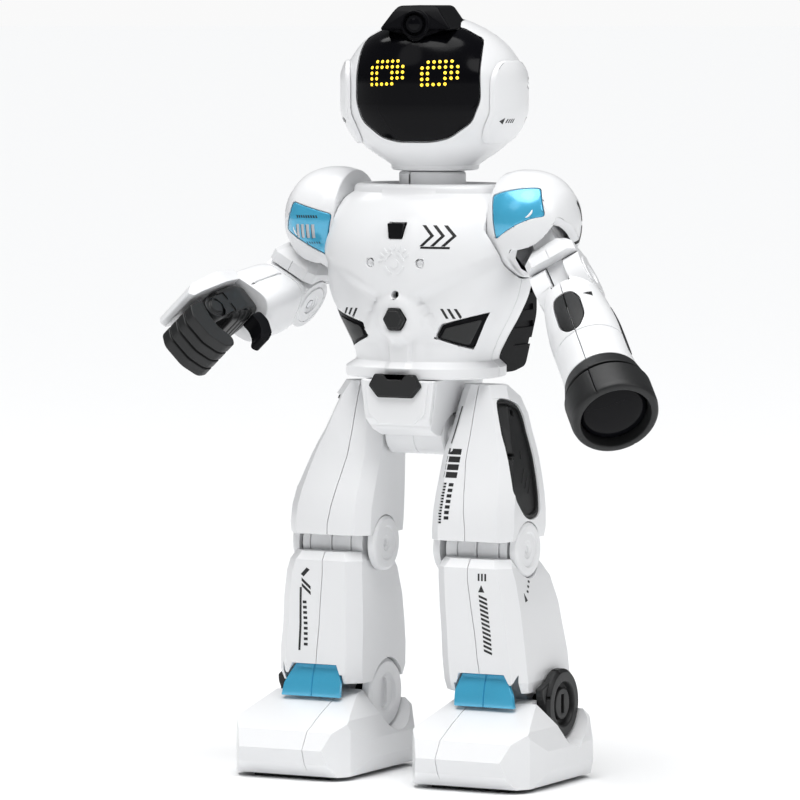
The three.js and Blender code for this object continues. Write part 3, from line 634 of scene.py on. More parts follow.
def eye_dots(visor, place):
    """Lit dots in two hollow, rounded blocks, each a low dome on the visor."""
    target = surface_of(visor)
    points, faces = [], []
    for side in (-1, 1):
        for row, columns in enumerate(EYE_ROWS):
            for column in columns:
                x = side * EYE["x"] + (column - 3) * EYE["pitch_x"]
                z = EYE["z"] + (2 - row) * EYE["pitch_z"] + 0.12 * (column - 3)
                above = place @ Vector((x, -FAR, z))
                along = (place.to_3x3() @ Vector((0, 1, 0))).normalized()
                hit, normal, _, _ = target.ray_cast(above, along)
                tilt = normal.to_track_quat("Z", "Y").to_matrix().to_4x4()
                spot = Matrix.Translation(hit) @ tilt @ Matrix.Scale(MM, 4)
                first = len(points)
                for reach, rise in DOT_RINGS:
                    ring = circle(EYE["dot"] * reach, steps=DOT_CORNERS)
                    points += [spot @ Vector((a, b, rise)) for a, b in ring]
                last = len(points) - DOT_CORNERS
                for start in range(first, last, DOT_CORNERS):
                    for k in range(DOT_CORNERS):
                        a, b = start + k, start + (k + 1) % DOT_CORNERS
                        faces.append((a, b, b + DOT_CORNERS, a + DOT_CORNERS))
                faces += [range(first, first + DOT_CORNERS), range(last, last + DOT_CORNERS)]
    dots = solid(points, faces)
    dots.transform(place.inverted())
    dots = shaped("eye_dots", dots, place, "head", "yellow", bevel=0)
    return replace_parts(dots, "eye_display")


def camera_pod(place):
    """The pod on the forehead, with a stepped ring and a domed glass."""
    body = common(prism(POD, "y", -30, 3), prism(POD_SIDE, "x", -20, 20))
    collar = turned(
        [(-2.5, 0), (-2.5, 4.3), (-1.9, 4.3), (-1.2, 5.2), (-1.2, 5.5), (-2.5, 5.6), (-2.9, 5.9),
         (-2.5, LENS["radius"]), (2, LENS["radius"]), (2, 0)],
        "z",
    )
    collar.transform(at(0, -28.6, LENS["z"]) @ turn(-90, "X"))
    moulding("camera_pod", join(body, collar), place, "black", bevel=0.7, segments=3)
    glass = turned([(-0.6, 0), (-0.6, 3.9), (0.2, 3.9), (0.9, 2.6), (1.2, 1.2), (1.25, 0)])
    glass.transform(at(0, -30.3, LENS["z"]) @ turn(90, "X"))
    shaped("camera_glass", glass, place, "head", "gloss", bevel=0.1)


def head_form(inset=0.0, bottom=0.0):
    return loft(HEAD_SECTIONS, 2.15, inset, bottom=bottom)


def head():
    """The head's two shells with all that they carry, turned to one side, and the neck."""
    place = ROBOT @ turn(HEAD_YAW, "Z")
    outer = head_form(bottom=1.5)
    outline = soft(both_sides(VISOR_HALF), 3, 5)
    shade_floor = head_form(1.9)
    seat = cut(prism(grown(outline, 0.6), "y", -FAR, -5), shade_floor)
    pod_seat = prism(grown(POD, 0.5), "y", -40, 3.6)
    shells = cut(outer, seat, pod_seat, rod("z", NECK["radius"] - 4, 270, 290))
    front = common(shells, block(-FAR, FAR, -FAR, HEAD_SPLIT - GAP / 2, 0, FAR * 2))
    rear = common(shells, block(-FAR, FAR, HEAD_SPLIT + GAP / 2, FAR, 0, FAR * 2))
    moulding("head_front_shell", front, place, "white", bevel=0.35, angle=35)
    moulding("head_rear_shell", rear, place, "white", bevel=0.35, angle=35)
    layer = cut(head_form(0.25), head_form(1.7))
    glass = common(layer, prism(outline, "y", -FAR, -5))
    glass = cut(glass, prism(grown(POD, 0.4), "y", -FAR, 5))
    visor = moulding("visor", glass, place, "gloss", bevel=0.45, angle=45)
    eye_dots(visor, place)
    camera_pod(place)
    ears(place)
    neck_profile = [
        (NECK["bottom"], NECK["radius"] - 2.4),
        (NECK["bottom"], NECK["radius"] - 1.2),
        (NECK["bottom"] + 1.6, NECK["radius"] - 1.2),
        (NECK["bottom"] + 2, NECK["radius"]),
        (NECK["top"] - 1, NECK["radius"]),
        (NECK["top"], NECK["radius"] - 1),
        (NECK["top"], NECK["radius"] - 2.4),
    ]
    collar = cut(turned(neck_profile, "z", 72), block(-4.6, -4.1, -FAR, -14.6, 270.5, 300))
    moulding("neck_tube", collar, ROBOT, "white", bevel=0.3)
    # Two dark plugs sit on the back of the head.
    plugs = [rod("y", 1.7, 38, 60, side * 14, 298, 20) for side in (-1, 1)]
    plugs = common(join(*plugs), cut(head_form(-0.25), head_form(1)))
    shaped("head_screw_plugs", plugs, place, "head", "dark", bevel=0.15)


def ears(place):
    """A cover over each ear, a dark trim behind it and a small printed mark on it."""
    proud, flush = head_form(-2.2), head_form(-0.3)
    outline = soft(EAR, 5, 5)
    for side, name in SIDES:
        start, end = span(side, 28, 50)
        cover = cut(common(proud, prism(outline, "x", start, end)), flush)
        notches = [block(*span(side, 30, 60), 8.6, 20, z, z + 1.2) for z in (306, 321.5, 324.5)]
        cover = moulding(f"ear_cover_{name}", cut(cover, *notches), place, "white", bevel=0.6, angle=40)
        trim = cut(
            common(head_form(-1.1), prism(grown(outline, 3.2), "x", start, end)),
            flush.copy(),
            prism(grown(outline, 0.5), "x", -60, 60),
            block(-60, 60, -60, EAR_TRIM["front"], 0, FAR * 2),
            block(-60, 60, -60, 60, 0, EAR_TRIM["bottom"]),
            block(-60, 60, -60, 60, EAR_TRIM["top"], FAR * 2),
        )
        shaped(f"ear_trim_{name}", trim, place, "head", "dark", bevel=0.3, angle=40)
        marks = [[(-17.5, 306.5), (-14.8, 308), (-14.8, 305)]]
        marks += slanted_bars(4, -12.8, 306.5, 0.8, 1.9, 1.6, 0.4)
        print_on(f"ear_mark_{name}", marks, [cover], place, f"ear_cover_{name}", "ink", "x", side)


# ---- Torso ----
TORSO_SECTIONS = [
    [187, -37, 37, -37, 23],
    [192, -37, 37, -37, 23],
    [195, -33, 33, -34, 22],
    [204, -36, 36, -34, 25],
    [215, -42, 42, -35.5, 28],
    [226, -47, 47, -38, 30],
    [240, -49, 49, -39, 31],
    [254, -48, 48, -37, 31],
    [266, -44, 44, -31, 28],
    [273, -37, 37, -25, 24],
    [277, -26, 26, -19, 19],
]
VENT = [(18, 206.5), (31, 201.5), (39.5, 218), (21, 212.5)]
BUTTON = {"z": 215, "radius": 5.6}
SENSOR = [(-3.5, 252.5), (3.2, 252.5), (4.2, 259.5), (-4.2, 259.5)]
BELT = [(9, 178.5), (13.7, 184), (10.5, 189.5), (6.2, 189.5), (4.8, 187)]
CHEST_EDGE = {"flat": 10, "low": 229, "reach": 38, "high": 242.5}


def chest_relief(spot):
    """How far a point of the torso's front is pushed in or out, in millimetres."""
    x, y, z = spot
    if y > -6:
        return 0, 0, 0
    facing = smoothstep((-6 - y) / 14)
    # Below the chest plate's lower edge the belly steps back, less so down its middle.
    along = (abs(x) - CHEST_EDGE["flat"]) / (CHEST_EDGE["reach"] - CHEST_EDGE["flat"])
    edge = CHEST_EDGE["low"] + (CHEST_EDGE["high"] - CHEST_EDGE["low"]) * max(0.0, along)
    under = smoothstep((edge - z) / 7) * (1 - 0.65 * smoothstep((edge - 9 - z) / 16))
    apron = smoothstep((8 + 0.62 * (229 - z) - abs(x)) / 1.2) * smoothstep((z - 204) / 6)
    push = 3.4 * under * (1 - 0.8 * apron)
    # The flanks above the vents lie a little deeper.
    sides = smoothstep((abs(x) - 20) / 12) * smoothstep((231 - z) / 10) * smoothstep((z - 214) / 6)
    push += 0.9 * sides
    # A band down the middle of the plate, a boss round the button and a rib below it stand out.
    band = smoothstep((9.5 - abs(x)) / 1.0) * smoothstep((z - 232) / 3) * smoothstep((262 - z) / 3)
    push -= 0.35 * band
    away = math.hypot(x, z - BUTTON["z"])
    push -= 3.2 * smoothstep((13 - away) / 5)
    rib = smoothstep((6.2 - abs(x)) / 1.6) * smoothstep((212 - z) / 4) * smoothstep((z - 190) / 2)
    push -= 1.8 * rib
    # Beside the rib, above the waist flange, the shell is hollowed.
    groin = smoothstep((abs(x) - 8) / 5) * smoothstep((207 - z) / 5) * smoothstep((z - 193) / 3)
    push += 1.2 * groin
    return 0, push * facing, 0


def torso_form(inset=0.0, **finish):
    return loft(TORSO_SECTIONS, 2.7, inset, **finish)


def torso():
    """The torso's two shells with the small pieces in their front."""
    outer = moved(torso_form(step=1.6, count=160, bottom=1.2, top=3), chest_relief)
    proud, skin = torso_form(-3), torso_form(4.4)
    cap_inner = SHOULDER["x"] - 18
    tools = [
        rod("z", NECK["radius"] + 0.6, 264, 290, steps=64),
        turned([(280, 0), (280, 24), (276.8, 21), (274.8, 16), (274.8, 0)], "z", 64),
        prism(grown(circle(BUTTON["radius"], 0, BUTTON["z"], 6), GAP), "y", -50, -25),
        prism(grown(SENSOR, GAP), "y", -50, -34),
        rod("y", 1.9, -50, -33, 0, 226.3, 20),
        rod("x", SHOULDER["shaft"] + 0.5, -FAR, FAR, 0, SHOULDER["z"]),
    ]
    for side in (-1, 1):
        start, end = span(side, cap_inner - GAP, FAR)
        tools.append(rod("x", 25.8, start, end, 0, SHOULDER["z"], 72))
        tools.append(rod("y", 2.1, -50, -36.4, side * 12.9, 241, 24))
        outline = VENT if side > 0 else flipped(VENT)
        tools.append(cut(common(proud, prism(grown(outline, 0.7), "y", -FAR, -5)), skin))
    walls = cut(outer, *tools)
    front = common(walls, block(-FAR, FAR, -FAR, TORSO_SPLIT - GAP / 2, 0, 300))
    rear = common(walls, block(-FAR, FAR, TORSO_SPLIT + GAP / 2, FAR, 0, 300))
    front = moulding("torso_front_shell", front, ROBOT, "white", bevel=0.3, angle=42)
    rear = moulding("torso_rear_shell", rear, ROBOT, "white", bevel=0.3, angle=42)
    torso_vents(outer)
    window = prism(soft(SENSOR, 0.6, 3), "y", -38.2, -34.4)
    moulding("sensor_window", window, ROBOT, "gloss", bevel=0.3)
    lamp = turned([(-1, 0), (-1, 1.8), (0, 1.8), (0.5, 1.2), (0.7, 0)], steps=24)
    lamp.transform(at(0, -34.2, 226.3) @ turn(90, "X"))
    shaped("indicator_lamp", lamp, ROBOT, "body", "gloss", bevel=0)
    for side, name in SIDES:
        rivet = turned([(-1.5, 0), (-1.5, 1.9), (0.6, 1.9), (0.9, 1.5), (0.5, 1.1), (0.3, 0)], steps=28)
        rivet.transform(at(side * 12.9, -37, 241) @ turn(90, "X"))
        shaped(f"chest_rivet_{name}", rivet, ROBOT, "body", "white", bevel=0)
    chest_sun(front)
    chest_prints(front)
    button()


def torso_vents(outer):
    """A dark plate in each flank, with a raised field inside a lower black border."""
    for side, name in SIDES:
        outline = VENT if side > 0 else flipped(VENT)
        mid_x, mid_z = side * 27.5, 209.5
        field = [
            (mid_x + 0.8 * (x - mid_x), mid_z - 0.7 + 0.74 * (z - mid_z)) for x, z in outline
        ]
        border = common(outer.copy(), prism(soft(outline, 1.2), "y", -FAR, -8))
        lowered = moved(border, lambda spot: (0, 0.9, 0))
        border = cut(lowered, moved(outer.copy(), lambda spot: (0, 3.0, 0)))
        shaped(f"side_vent_border_{name}", border, ROBOT, "body", "black", bevel=0.25, angle=40)
        plate = common(outer.copy(), prism(soft(field, 1), "y", -FAR, -8))
        plate = cut(moved(plate, lambda spot: (0, 0.15, 0)), moved(outer.copy(), lambda spot: (0, 1.8, 0)))
        moulding(f"side_vent_{name}", plate, ROBOT, "dark", bevel=0.35, angle=40)


def chest_sun(front):
    """A low moulded sun: a hub, a broken ring and short rays."""
    z = 241
    shapes = [circle(2.2, 0, z, 20)]
    shapes += [ring_part(4.4, 5.3, 0, z, start, start + 62, 10) for start in (14, 104, 194, 284)]
    shapes += [
        ring_part(6.3, 8.6, 0, z, angle - 3.5, angle + 3.5, 2) for angle in range(30, 180, 20)
    ]
    print_on("chest_relief", shapes, [front], ROBOT, "torso_front_shell", "white", lift=0.4, depth=0.6)


def chest_prints(front):
    """Three arrow heads over a bar, and slashes on both flanks."""
    x, z, size = 19.5, 253, 4.8
    mark = [bar for shift in (-4.6, 0.6, 5.8) for bar in chevron(x + shift, z + 1, size)]
    mark.append(rectangle(x - 6.5, x + 7.5, z - 5, z - 4))
    print_on("chest_mark", mark, [front], ROBOT, "torso_front_shell", "ink")
    slashes = slanted_bars(3, 22.3, 217.8, 1.3, 4.6, 3.1, -2.6)
    slashes += slanted_bars(3, -31.2, 217, 1.3, 4.6, 3.1, 2.6)
    print_on("chest_slashes", slashes, [front], ROBOT, "torso_front_shell", "ink")


def button():
    """A six-sided push button with a stepped face."""
    stem = prism(soft(circle(BUTTON["radius"], 0, BUTTON["z"], 6), 0.5, 2), "y", -40.2, -32)
    rim = prism(circle(BUTTON["radius"] * 0.8, 0, BUTTON["z"], 6), "y", -41, -39)
    moulding("abdomen_button", join(stem, rim), ROBOT, "dark", bevel=0.35)


def pelvis():
    """The pelvis shell, its front plate, the hip bar and the belt plate."""
    hollow = rod("x", HIP["bar"] + GAP, -FAR, FAR, HIP["y"], HIP["z"], 48)
    side_view = [(-24, 160), (-31.5, 163), (-36.5, 168.5), (-36.5, 186.6), (16, 186.6), (16, 168), (8, 160)]
    front_view = [(-14.4, 158), (14.4, 158), (17, 170), (19, 186.6), (-19, 186.6), (-17, 170)]
    core = common(prism(side_view, "x", -FAR, FAR), prism(front_view, "y", -FAR, FAR))
    core = cut(core, hollow, block(-FAR, FAR, -33.2, -32.8, 150, 187))
    moulding("pelvis_shell", core, ROBOT, "white", bevel=0.7, segments=3)
    plate = prism(both_sides([(9.6, 166.3), (14.7, 171.2), (16.6, 186.2)]), "y", -37.3, -36)
    shaped("pelvis_front_plate", plate, ROBOT, "body", "white", bevel=0.45, segments=3)
    half = [(0.3, 9), (0.3, HIP["bar"]), (HIP["half"] - 0.8, HIP["bar"]), (HIP["half"], 8.6)]
    half += [(HIP["half"], HIP["stub"]), (28, HIP["stub"]), (28, 0)]
    axle = turned([(-x, radius) for x, radius in reversed(half)] + half, "x")
    axle.transform(at(0, HIP["y"], HIP["z"]))
    moulding("hip_axle", axle, ROBOT, "white", bevel=0.2)
    outline = soft(both_sides(BELT), 0.8, 3)
    belt = join(prism(outline, "y", -38.9, -37.4), prism(grown(outline, -1.1), "y", -39.4, -38))
    moulding("belt_plate", belt, ROBOT, "dark", bevel=0.3)


BACK_PROFILE = [(10, 262), (44, 262), (50, 252), (50, 214), (38, 190), (26, 188), (10, 188)]
SWITCH = {"z": 238, "half": 3, "length": 6, "travel": 4}


def backpack():
    """A ribbed black battery case with a slide switch in its back."""
    room = torso_form(-GAP)
    x0 = SWITCH["length"] / 2 + GAP + SWITCH["travel"] / 2
    high = SWITCH["half"] + GAP
    tools = [room, block(-x0, x0, 47.5, 60, SWITCH["z"] - high, SWITCH["z"] + high)]
    for side in (-1, 1):
        for x in (10, 16, 22):
            tools.append(block(side * x - 0.9, side * x + 0.9, 48.9, 60, 196, 250))
    for z in range(200, 252, 8):
        for side in (-1, 1):
            tools.append(block(*span(side, 28.9, 40), 26, 46, z, z + 3))
    case = cut(prism(soft(BACK_PROFILE, 3), "x", -30, 30), *tools)
    moulding("backpack", case, ROBOT, "black", bevel=0.8, angle=35, segments=3, clamp=True)
    z0, z1 = SWITCH["z"] - SWITCH["half"], SWITCH["z"] + SWITCH["half"]
    start = -SWITCH["length"] / 2 - SWITCH["travel"] / 2
    knob = block(start, start + SWITCH["length"], 47.9, 50.6, z0, z1)
    grips = [block(start + k, start + k + 0.5, 50.1, 60, z0 + 0.6, z1 - 0.6) for k in (1.4, 2.75, 4.1)]
    moulding("power_switch", cut(knob, *grips), ROBOT, "dark", bevel=0.2)


# ---- Arms ----
# The arm hangs straight down in its own frame: +x is outward, -y is the front.
CAP_PROFILE = [(-18, 23.5), (-10, 25), (-2, 24.5), (6, 21.5), (11, 16.8), (14, 11.5), (15, 5)]
CAP_PANEL = [(-16.5, 2.5), (-13, -17), (9, -5), (5, 8)]
LEFT_FOREARM = [
    [-68, -17.5, 17.5, -17.5, 17.5],
    [-58, -16.8, 16.8, -16.8, 16.8],
    [-40, -16.8, 16.8, -16.8, 16.8],
    [-22, -15.4, 15.4, -15, 15],
    [-6, -13, 13, -12, 12],
]
RIGHT_FOREARM = [
    [-40, -13.5, 13.5, -13.5, 13.5],
    [-34, -14.5, 14.5, -14.5, 14.5],
    [-18, -14.5, 14.5, -14, 14],
    [-6, -13, 13, -12, 12],
]


def arm_places(side):
    """Where the cap, upper arm, forearm, hand and fingers of one arm are drawn."""
    pose = POSE[side]
    cap = ROBOT @ at(SHOULDER["x"] if side == "left" else -SHOULDER["x"], 0, SHOULDER["z"])
    if side == "right":
        cap = cap @ MIRROR
    cap = cap @ turn(-pose["swing"], "X")
    upper = cap @ at(0, 0, -SHOULDER["drop"]) @ turn(-pose["spread"], "Y")
    forearm = upper @ at(0, 0, -ARM["upper"]) @ turn(-pose["elbow"], "X")
    wrist = forearm @ turn(pose["wrist"], "Z")
    return cap, upper, forearm, wrist, wrist @ at(0, HAND["y"], HAND["z"])


def cap_body(inset=0.0):
    rows = [[x, r] for x, r in CAP_PROFILE]
    smooth = [(x * (1 - inset / 18), max(0.5, r - inset)) for x, r in refined(rows, 1.2)]
    return turned([(smooth[0][0], 0), *smooth, (smooth[-1][0], 0)], "x", 112)


def shoulder(side, place):
    """The shoulder cap with its panel and printed arcs."""
    arm_opening = prism([(-8.5, -40), (30, -40), (30, -1), (16, -1), (-8.5, -23)], "y", -13.4, 13.4)
    outline = soft(CAP_PANEL, 1.6)
    seat = cut(prism(grown(outline, 0.45), "y", -40, -4), cap_body(1.9))
    lugs = [rod("y", 4.5, *span(end, 9.8, 22), 0, -SHOULDER["drop"]) for end in (-1, 1)]
    case = cut(cap_body(), cap_body(3))
    rib = turned([(-2, 0), (-2, 40), (-1.6, 40), (-1.6, 0)], "x")
    rib = cut(rib, cap_body(0.5), block(-9, 9, -60, 0, -60, 60))
    cap = join(cut(case, arm_opening, seat, rib), *lugs, rod("x", SHOULDER["shaft"], -26, -15))
    cap = moulding(f"{side}_shoulder_cap", cap, place, "white", bevel=0.5, angle=38)
    panel = common(cut(cap_body(0.25), cap_body(1.5)), prism(outline, "y", -40, -4))
    panel = moulding(f"{side}_shoulder_panel", panel, place, "blue", bevel=0.35, angle=45)
    arcs = [ring_part(11, 13, 0, 0, *ends) for ends in ((-30, 24), (34, 86))]
    print_on(f"{side}_shoulder_arcs", arcs, [cap], place, f"{side}_shoulder_cap", "dark", "x", 1, 0.15, 0.6)
    if side == "right":
        panel_prints(panel, place)


def panel_prints(panel, place):
    """A hatched strip over a silver tally."""
    node = "right_shoulder_panel"
    strip = slanted_bars(9, -9.4, 1.2, 0.8, 1.2, 1.35, 0.5)
    print_on("panel_strip", strip, [panel], place, node, "ink")
    tally = slanted_bars(4, -7.6, -5.6, 1.5, 6.4, 2.9, 0.0)
    print_on("panel_tally", tally, [panel], place, node, "silver", lift=0.1)
    shadow = slanted_bars(4, -6.7, -5.9, 0.5, 6.4, 2.9, 0.0)
    shadow += slanted_bars(6, -10, -11.0, 0.5, 0.9, 1.3, 0.4)
    print_on("panel_tally_shadow", shadow, [panel], place, node, "ink")


def upper_arm(side, place):
    """The upper arm, from its pivot in the cap to the tongue in the elbow."""
    elbow = -ARM["upper"]
    sections = [
        [elbow + 11, -12.5, 12.5, -12.5, 12.5],
        [-19, -12.5, 12.5, -12.5, 12.5],
        [-14, -9.5, 9.5, -9.5, 9.5],
    ]
    case = faceted(sections, 3.2, 3.2, step=20)
    seam = join(block(-0.2, 0.2, -FAR, -11.9, -30, -18.5), block(-0.2, 0.2, 11.9, FAR, -30, -18.5))
    case = cut(case, rod("x", ARM["elbow"] + 0.5, -FAR, FAR, 0, elbow, 64), seam)
    tongue = join(block(-4, 4, -6, 6, elbow, -16), rod("x", 6, -4, 4, 0, elbow))
    root = join(rod("y", 7, -9.3, 9.3), block(-5.5, 5.5, -8, 8, -15, 0))
    whole = cut(join(case, tongue, root), rod("x", 2.4, -20, 20, 0, elbow, 24))
    moulding(f"{side}_upper_arm", whole, place, "white", bevel=0.8, angle=28, segments=3, clamp=True)
    screw = turned([(9.3, 0), (9.3, 3.6), (9.8, 3.2), (9.8, 1.9), (9.2, 1.7), (9.2, 0)], steps=32)
    screw.transform(turn(90, "X"))
    shaped(f"{side}_arm_pivot_cap", screw, place, f"{side}_upper_arm", "white", bevel=0.1)


def forearm_body(sections, power, bottom):
    """The rounded top of a forearm, with the slot that takes the upper arm's tongue."""
    body = join(
        loft(sections, power, count=96),
        rod("x", ARM["elbow"], -ARM["half"], ARM["half"], steps=64),
        *[rod("x", 9.3, *span(end, 12, 13.5), steps=48) for end in (-1, 1)],
    )
    slot = join(rod("x", 8, -4.6, 4.6), block(-4.6, 4.6, -20, 8, -8, 20))
    dimples = [rod("x", 4.6, *span(end, 12.7, 20), steps=32) for end in (-1, 1)]
    pin_hole = rod("x", 2.35, -20, 20, steps=24)
    return cut(body, slot, pin_hole, block(-FAR, FAR, -FAR, FAR, -FAR, bottom), *dimples)


def ring_groove(z, radius, width=0.5, depth=0.5):
    """A cutter for a groove round the Z axis."""
    profile = [(z, radius - depth), (z, 60), (z + width, 60), (z + width, radius - depth)]
    return turned(profile, "z", 96)


def sleeve(inset):
    return loft(LEFT_FOREARM, 2, inset, count=96)


def left_forearm(place):
    """The left forearm's two halves, its oval window and its prints."""
    body = forearm_body(LEFT_FOREARM, 2, CUP["top"] + 0.3)
    oval = soft([
        (-5.2, -18), (3.6, -18), (6.5, -24), (6.5, -38), (2.5, -45.5), (-3, -45.5), (-6.5, -40), (-6.5, -23),
    ], 3.2, 5)
    seat = cut(prism(grown(oval, 0.5), "y", -40, -5), sleeve(1.9))
    body = cut(body, seat, ring_groove(-47.5, 16.8))
    seam = [(0, -80), (0, 20)]
    halves = [
        moulding(name, common(body, seam_side(seam, way)), place, "white", bevel=0.35, angle=35)
        for name, way in (("left_forearm_inner", -1), ("left_forearm_outer", 1))
    ]
    layer = cut(sleeve(0.2), sleeve(1.5))
    pane = common(layer, prism(oval, "y", -40, -5))
    pane = cut(pane, block(-0.25, 0.25, -40, -14, -60, 0))
    moulding("left_forearm_window", pane, place, "dark", bevel=0.35, angle=40)
    node = "left_forearm_outer"
    crescent = [
        (-1.5, -28), (1.2, -36), (2.6, -46), (2.4, -56), (0.4, -61), (-1.4, -59), (-1.6, -48), (-1.2, -37),
    ]
    print_on("forearm_crescent", [crescent], halves, place, node, "dark", "x", 1, 0.3, 0.6)
    mark = [(8.4, -22.5), (12, -20.6), (12, -24.4)]
    print_on("forearm_mark", [mark], halves, place, node, "ink")


def horn(place):
    """The dark cup at the end of the left arm: a collar, a groove, a heavy rim and a domed lens."""
    radius, rim = CUP["radius"], CUP["rim"]
    profile = [
        (CUP["top"], 14.5), (CUP["top"], 17.4), (CUP["top"] - 0.5, 17.8), (-75.4, 19.3), (-76, 19.2),
        (-76, 17.6), (-78, 17.6), (-78, radius - 0.4), (-78.6, radius), (-90.5, radius),
        (-92.6, radius - 0.4), (rim + 0.5, 19.4), (rim, 18.6), (rim, 17), (rim + 0.5, 16.4),
        (-90, 15.9), (-87, 15.8), (-87, 0),
    ]
    cup = turned(profile + [(CUP["top"], 0)], "z", 96)
    seams = [block(-0.2, 0.2, *span(end, 18.9, 40), rim - 1, CUP["top"] + 1) for end in (-1, 1)]
    moulding("left_horn_cup", cut(cup, *seams), place, "dark", bevel=0.25, angle=40)
    lens = CUP["lens"]
    dome = [(-87.2, 0), (-87.2, lens), (-88.6, lens), (-89.2, lens - 0.4)]
    for k in range(1, 9):
        angle = math.radians(90 * k / 8)
        dome.append((-89.2 - 2.2 * math.sin(angle), (lens - 0.4) * math.cos(angle) if k < 8 else 0))
    moulding("left_horn_lens", turned(dome, "z", 96), place, "gloss", bevel=0)


def right_forearm(place):
    """The right forearm, moulded in one, with grooves where its parts would meet."""
    body = forearm_body(RIGHT_FOREARM, 4, -FAR)
    seams = [
        block(-0.2, 0.2, -FAR, -13.6, -60, -9),
        cut(block(-FAR, FAR, -FAR, FAR, -12.2, -11.8), loft(RIGHT_FOREARM, 4, 0.5)),
    ]
    moulding("right_forearm_shell", cut(body, *seams), place, "white", bevel=0.5, angle=35, segments=3)


def hand(place):
    """The right palm with its hinge cheeks, the cover on its back and the hooked thumb."""
    half = HAND["half"]
    sections = [[-63, -half, half, -9.6, 7], [-50, -half, half, -9.6, 8], [-42, -10, 10, -8, 7]]
    palm = loft(sections, 6, step=3, count=64)
    knuckles = []
    for end in (-1, 1):
        start, stop = span(end, 8, half)
        knuckles.append(rod("x", 5.7, start, stop, HAND["y"], HAND["z"]))
        knuckles.append(block(start, stop, HAND["y"] - 5.5, HAND["y"] + 5.5, HAND["z"], -60))
        knuckles.append(rod("x", 3.4, *span(end, 11, half + 1), HAND["y"], HAND["z"]))
    ribs = [block(-FAR, FAR, 5.5, 30, z, z + 0.9) for z in (-58, -54, -50)]
    whole = cut(join(palm, *knuckles), *ribs)
    moulding("right_palm", whole, place, "dark", bevel=0.6, angle=35, segments=3)
    hand_cover(place)
    hook = [(8.4, -44), (14, -43), (21, -47), (24, -54), (21, -57), (17.5, -52), (13, -50), (8.4, -51)]
    hook = soft(hook, 2)
    thumb = prism(hook, "x", -11, -3)
    ridges = [
        cut(block(-13, 0, 11, 40, z, z + 0.7), prism(grown(hook, -0.8), "x", -14, 1)) for z in (-50, -48)
    ]
    moulding("right_thumb", cut(thumb, *ridges), place, "black", bevel=0.9, segments=3, clamp=True)


def hand_cover(place):
    """The white cover on the back of the hand, with four dark slits."""
    profile = [(-10, -42.5), (-10, -79), (-12.5, -81), (-15.5, -77), (-16.5, -60), (-15.5, -41), (-12, -40.5)]
    outline = both_sides([(11, -83), (14, -74), (14.5, -55), (11, -38)])
    case = common(prism(soft(profile, 1), "x", -16, 16), prism(soft(outline, 3), "y", -20, 20))
    cover = moulding("right_hand_cover", case, place, "white", bevel=1.0, segments=3, clamp=True)
    slits = slanted_bars(2, -3, -70, 1.1, 4.4, 3.4, 1.8) + slanted_bars(2, 4, -70, 1.1, 4.4, 3.4, 1.8)
    print_on("hand_cover_slits", slits, [cover], place, "right_hand_cover", "dark")


def fingers(place):
    """Four fingers moulded in one, bent down from the knuckle hinge, drawn about the hinge axis."""
    rounded = soft([
        (-6, -5), (-6, -14), (0, -18), (12, -17), (20, -12), (21, -6), (17, -3.5), (9, -7.5), (2, -7.2),
    ], 2.2)
    bar = prism(rounded, "x", -HAND["half"], HAND["half"])
    grooves = []
    for n in (-1, 0, 1):
        x = n * (HAND["finger"] + 0.4)
        slot = block(x - 0.45, x + 0.45, -40, 40, -40, 10)
        core = prism(grown(rounded, -1.3), "x", -20, 20)
        grooves.append(cut(slot, core, block(-20, 20, -40, -2, -10, 10)))
    knuckle = join(rod("x", 5, -7.6, 7.6), block(-7.6, 7.6, -4, 4, -8, 0))
    moulding("right_fingers", join(cut(bar, *grooves), knuckle), place, "dark", bevel=0.55, angle=35)


def arm(side):
    cap, upper, forearm, wrist, knuckle = arm_places(side)
    shoulder(side, cap)
    upper_arm(side, upper)
    if side == "left":
        left_forearm(forearm)
        horn(wrist)
    else:
        right_forearm(forearm)
        hand(wrist)
        fingers(knuckle)


# ---- Legs ----
# Both legs are drawn for the left side; the right one is mirrored.
THIGH_SECTIONS = [
    [113, 16, 58, -38, 5],
    [118, 16, 58.5, -38, 6],
    [150, 16, 54, -27, 8],
    [162, 17.8, 50, -22, 9],
    [178, 20, 45, -16, 7],
    [184, 20.6, 42, -13, -1],
]
SHIN_SECTIONS = [
    [43, 22, 64, -34, 17],
    [48, 21.5, 65, -36, 19],
    [70, 20.5, 63, -37, 16],
    [95, 20, 60, -39, 8],
    [101, 20, 58, -39, 3],
    [105, 22, 56, -36, -1],
]
THIGH_SEAM = [(36, 90), (36, 118), (31, 150), (31, 200)]
SHIN_SEAM = [(43, 20), (43, 50), (38, 95), (38, 130)]
BATTERY_DOOR = [
    (-14, 178), (-16.5, 172), (-28, 134), (-20, 124.5), (-12, 122.4),
    (-4, 124), (-3, 131), (0, 168), (-2, 174),
]


def ankle_rod(radius, start, end, steps=40):
    return rod("x", radius, start, end, ANKLE["y"], ANKLE["z"], steps)


def knee_rod(radius, start, end, steps=40):
    return rod("x", radius, start, end, KNEE["y"], KNEE["z"], steps)


def thigh_form(inset=0.0):
    return faceted(THIGH_SECTIONS, 6, 4.5, inset, step=8)


def leg_halves(name, body, seam, place):
    """The inner and the outer moulding of a leg part, with broad soft edges."""
    return [
        moulding(f"{name}_{half}", common(body, seam_side(seam, way)), place, "white",
                 bevel=0.9, angle=14, segments=3, clamp=True)
        for half, way in (("inner", -1), ("outer", 1))
    ]


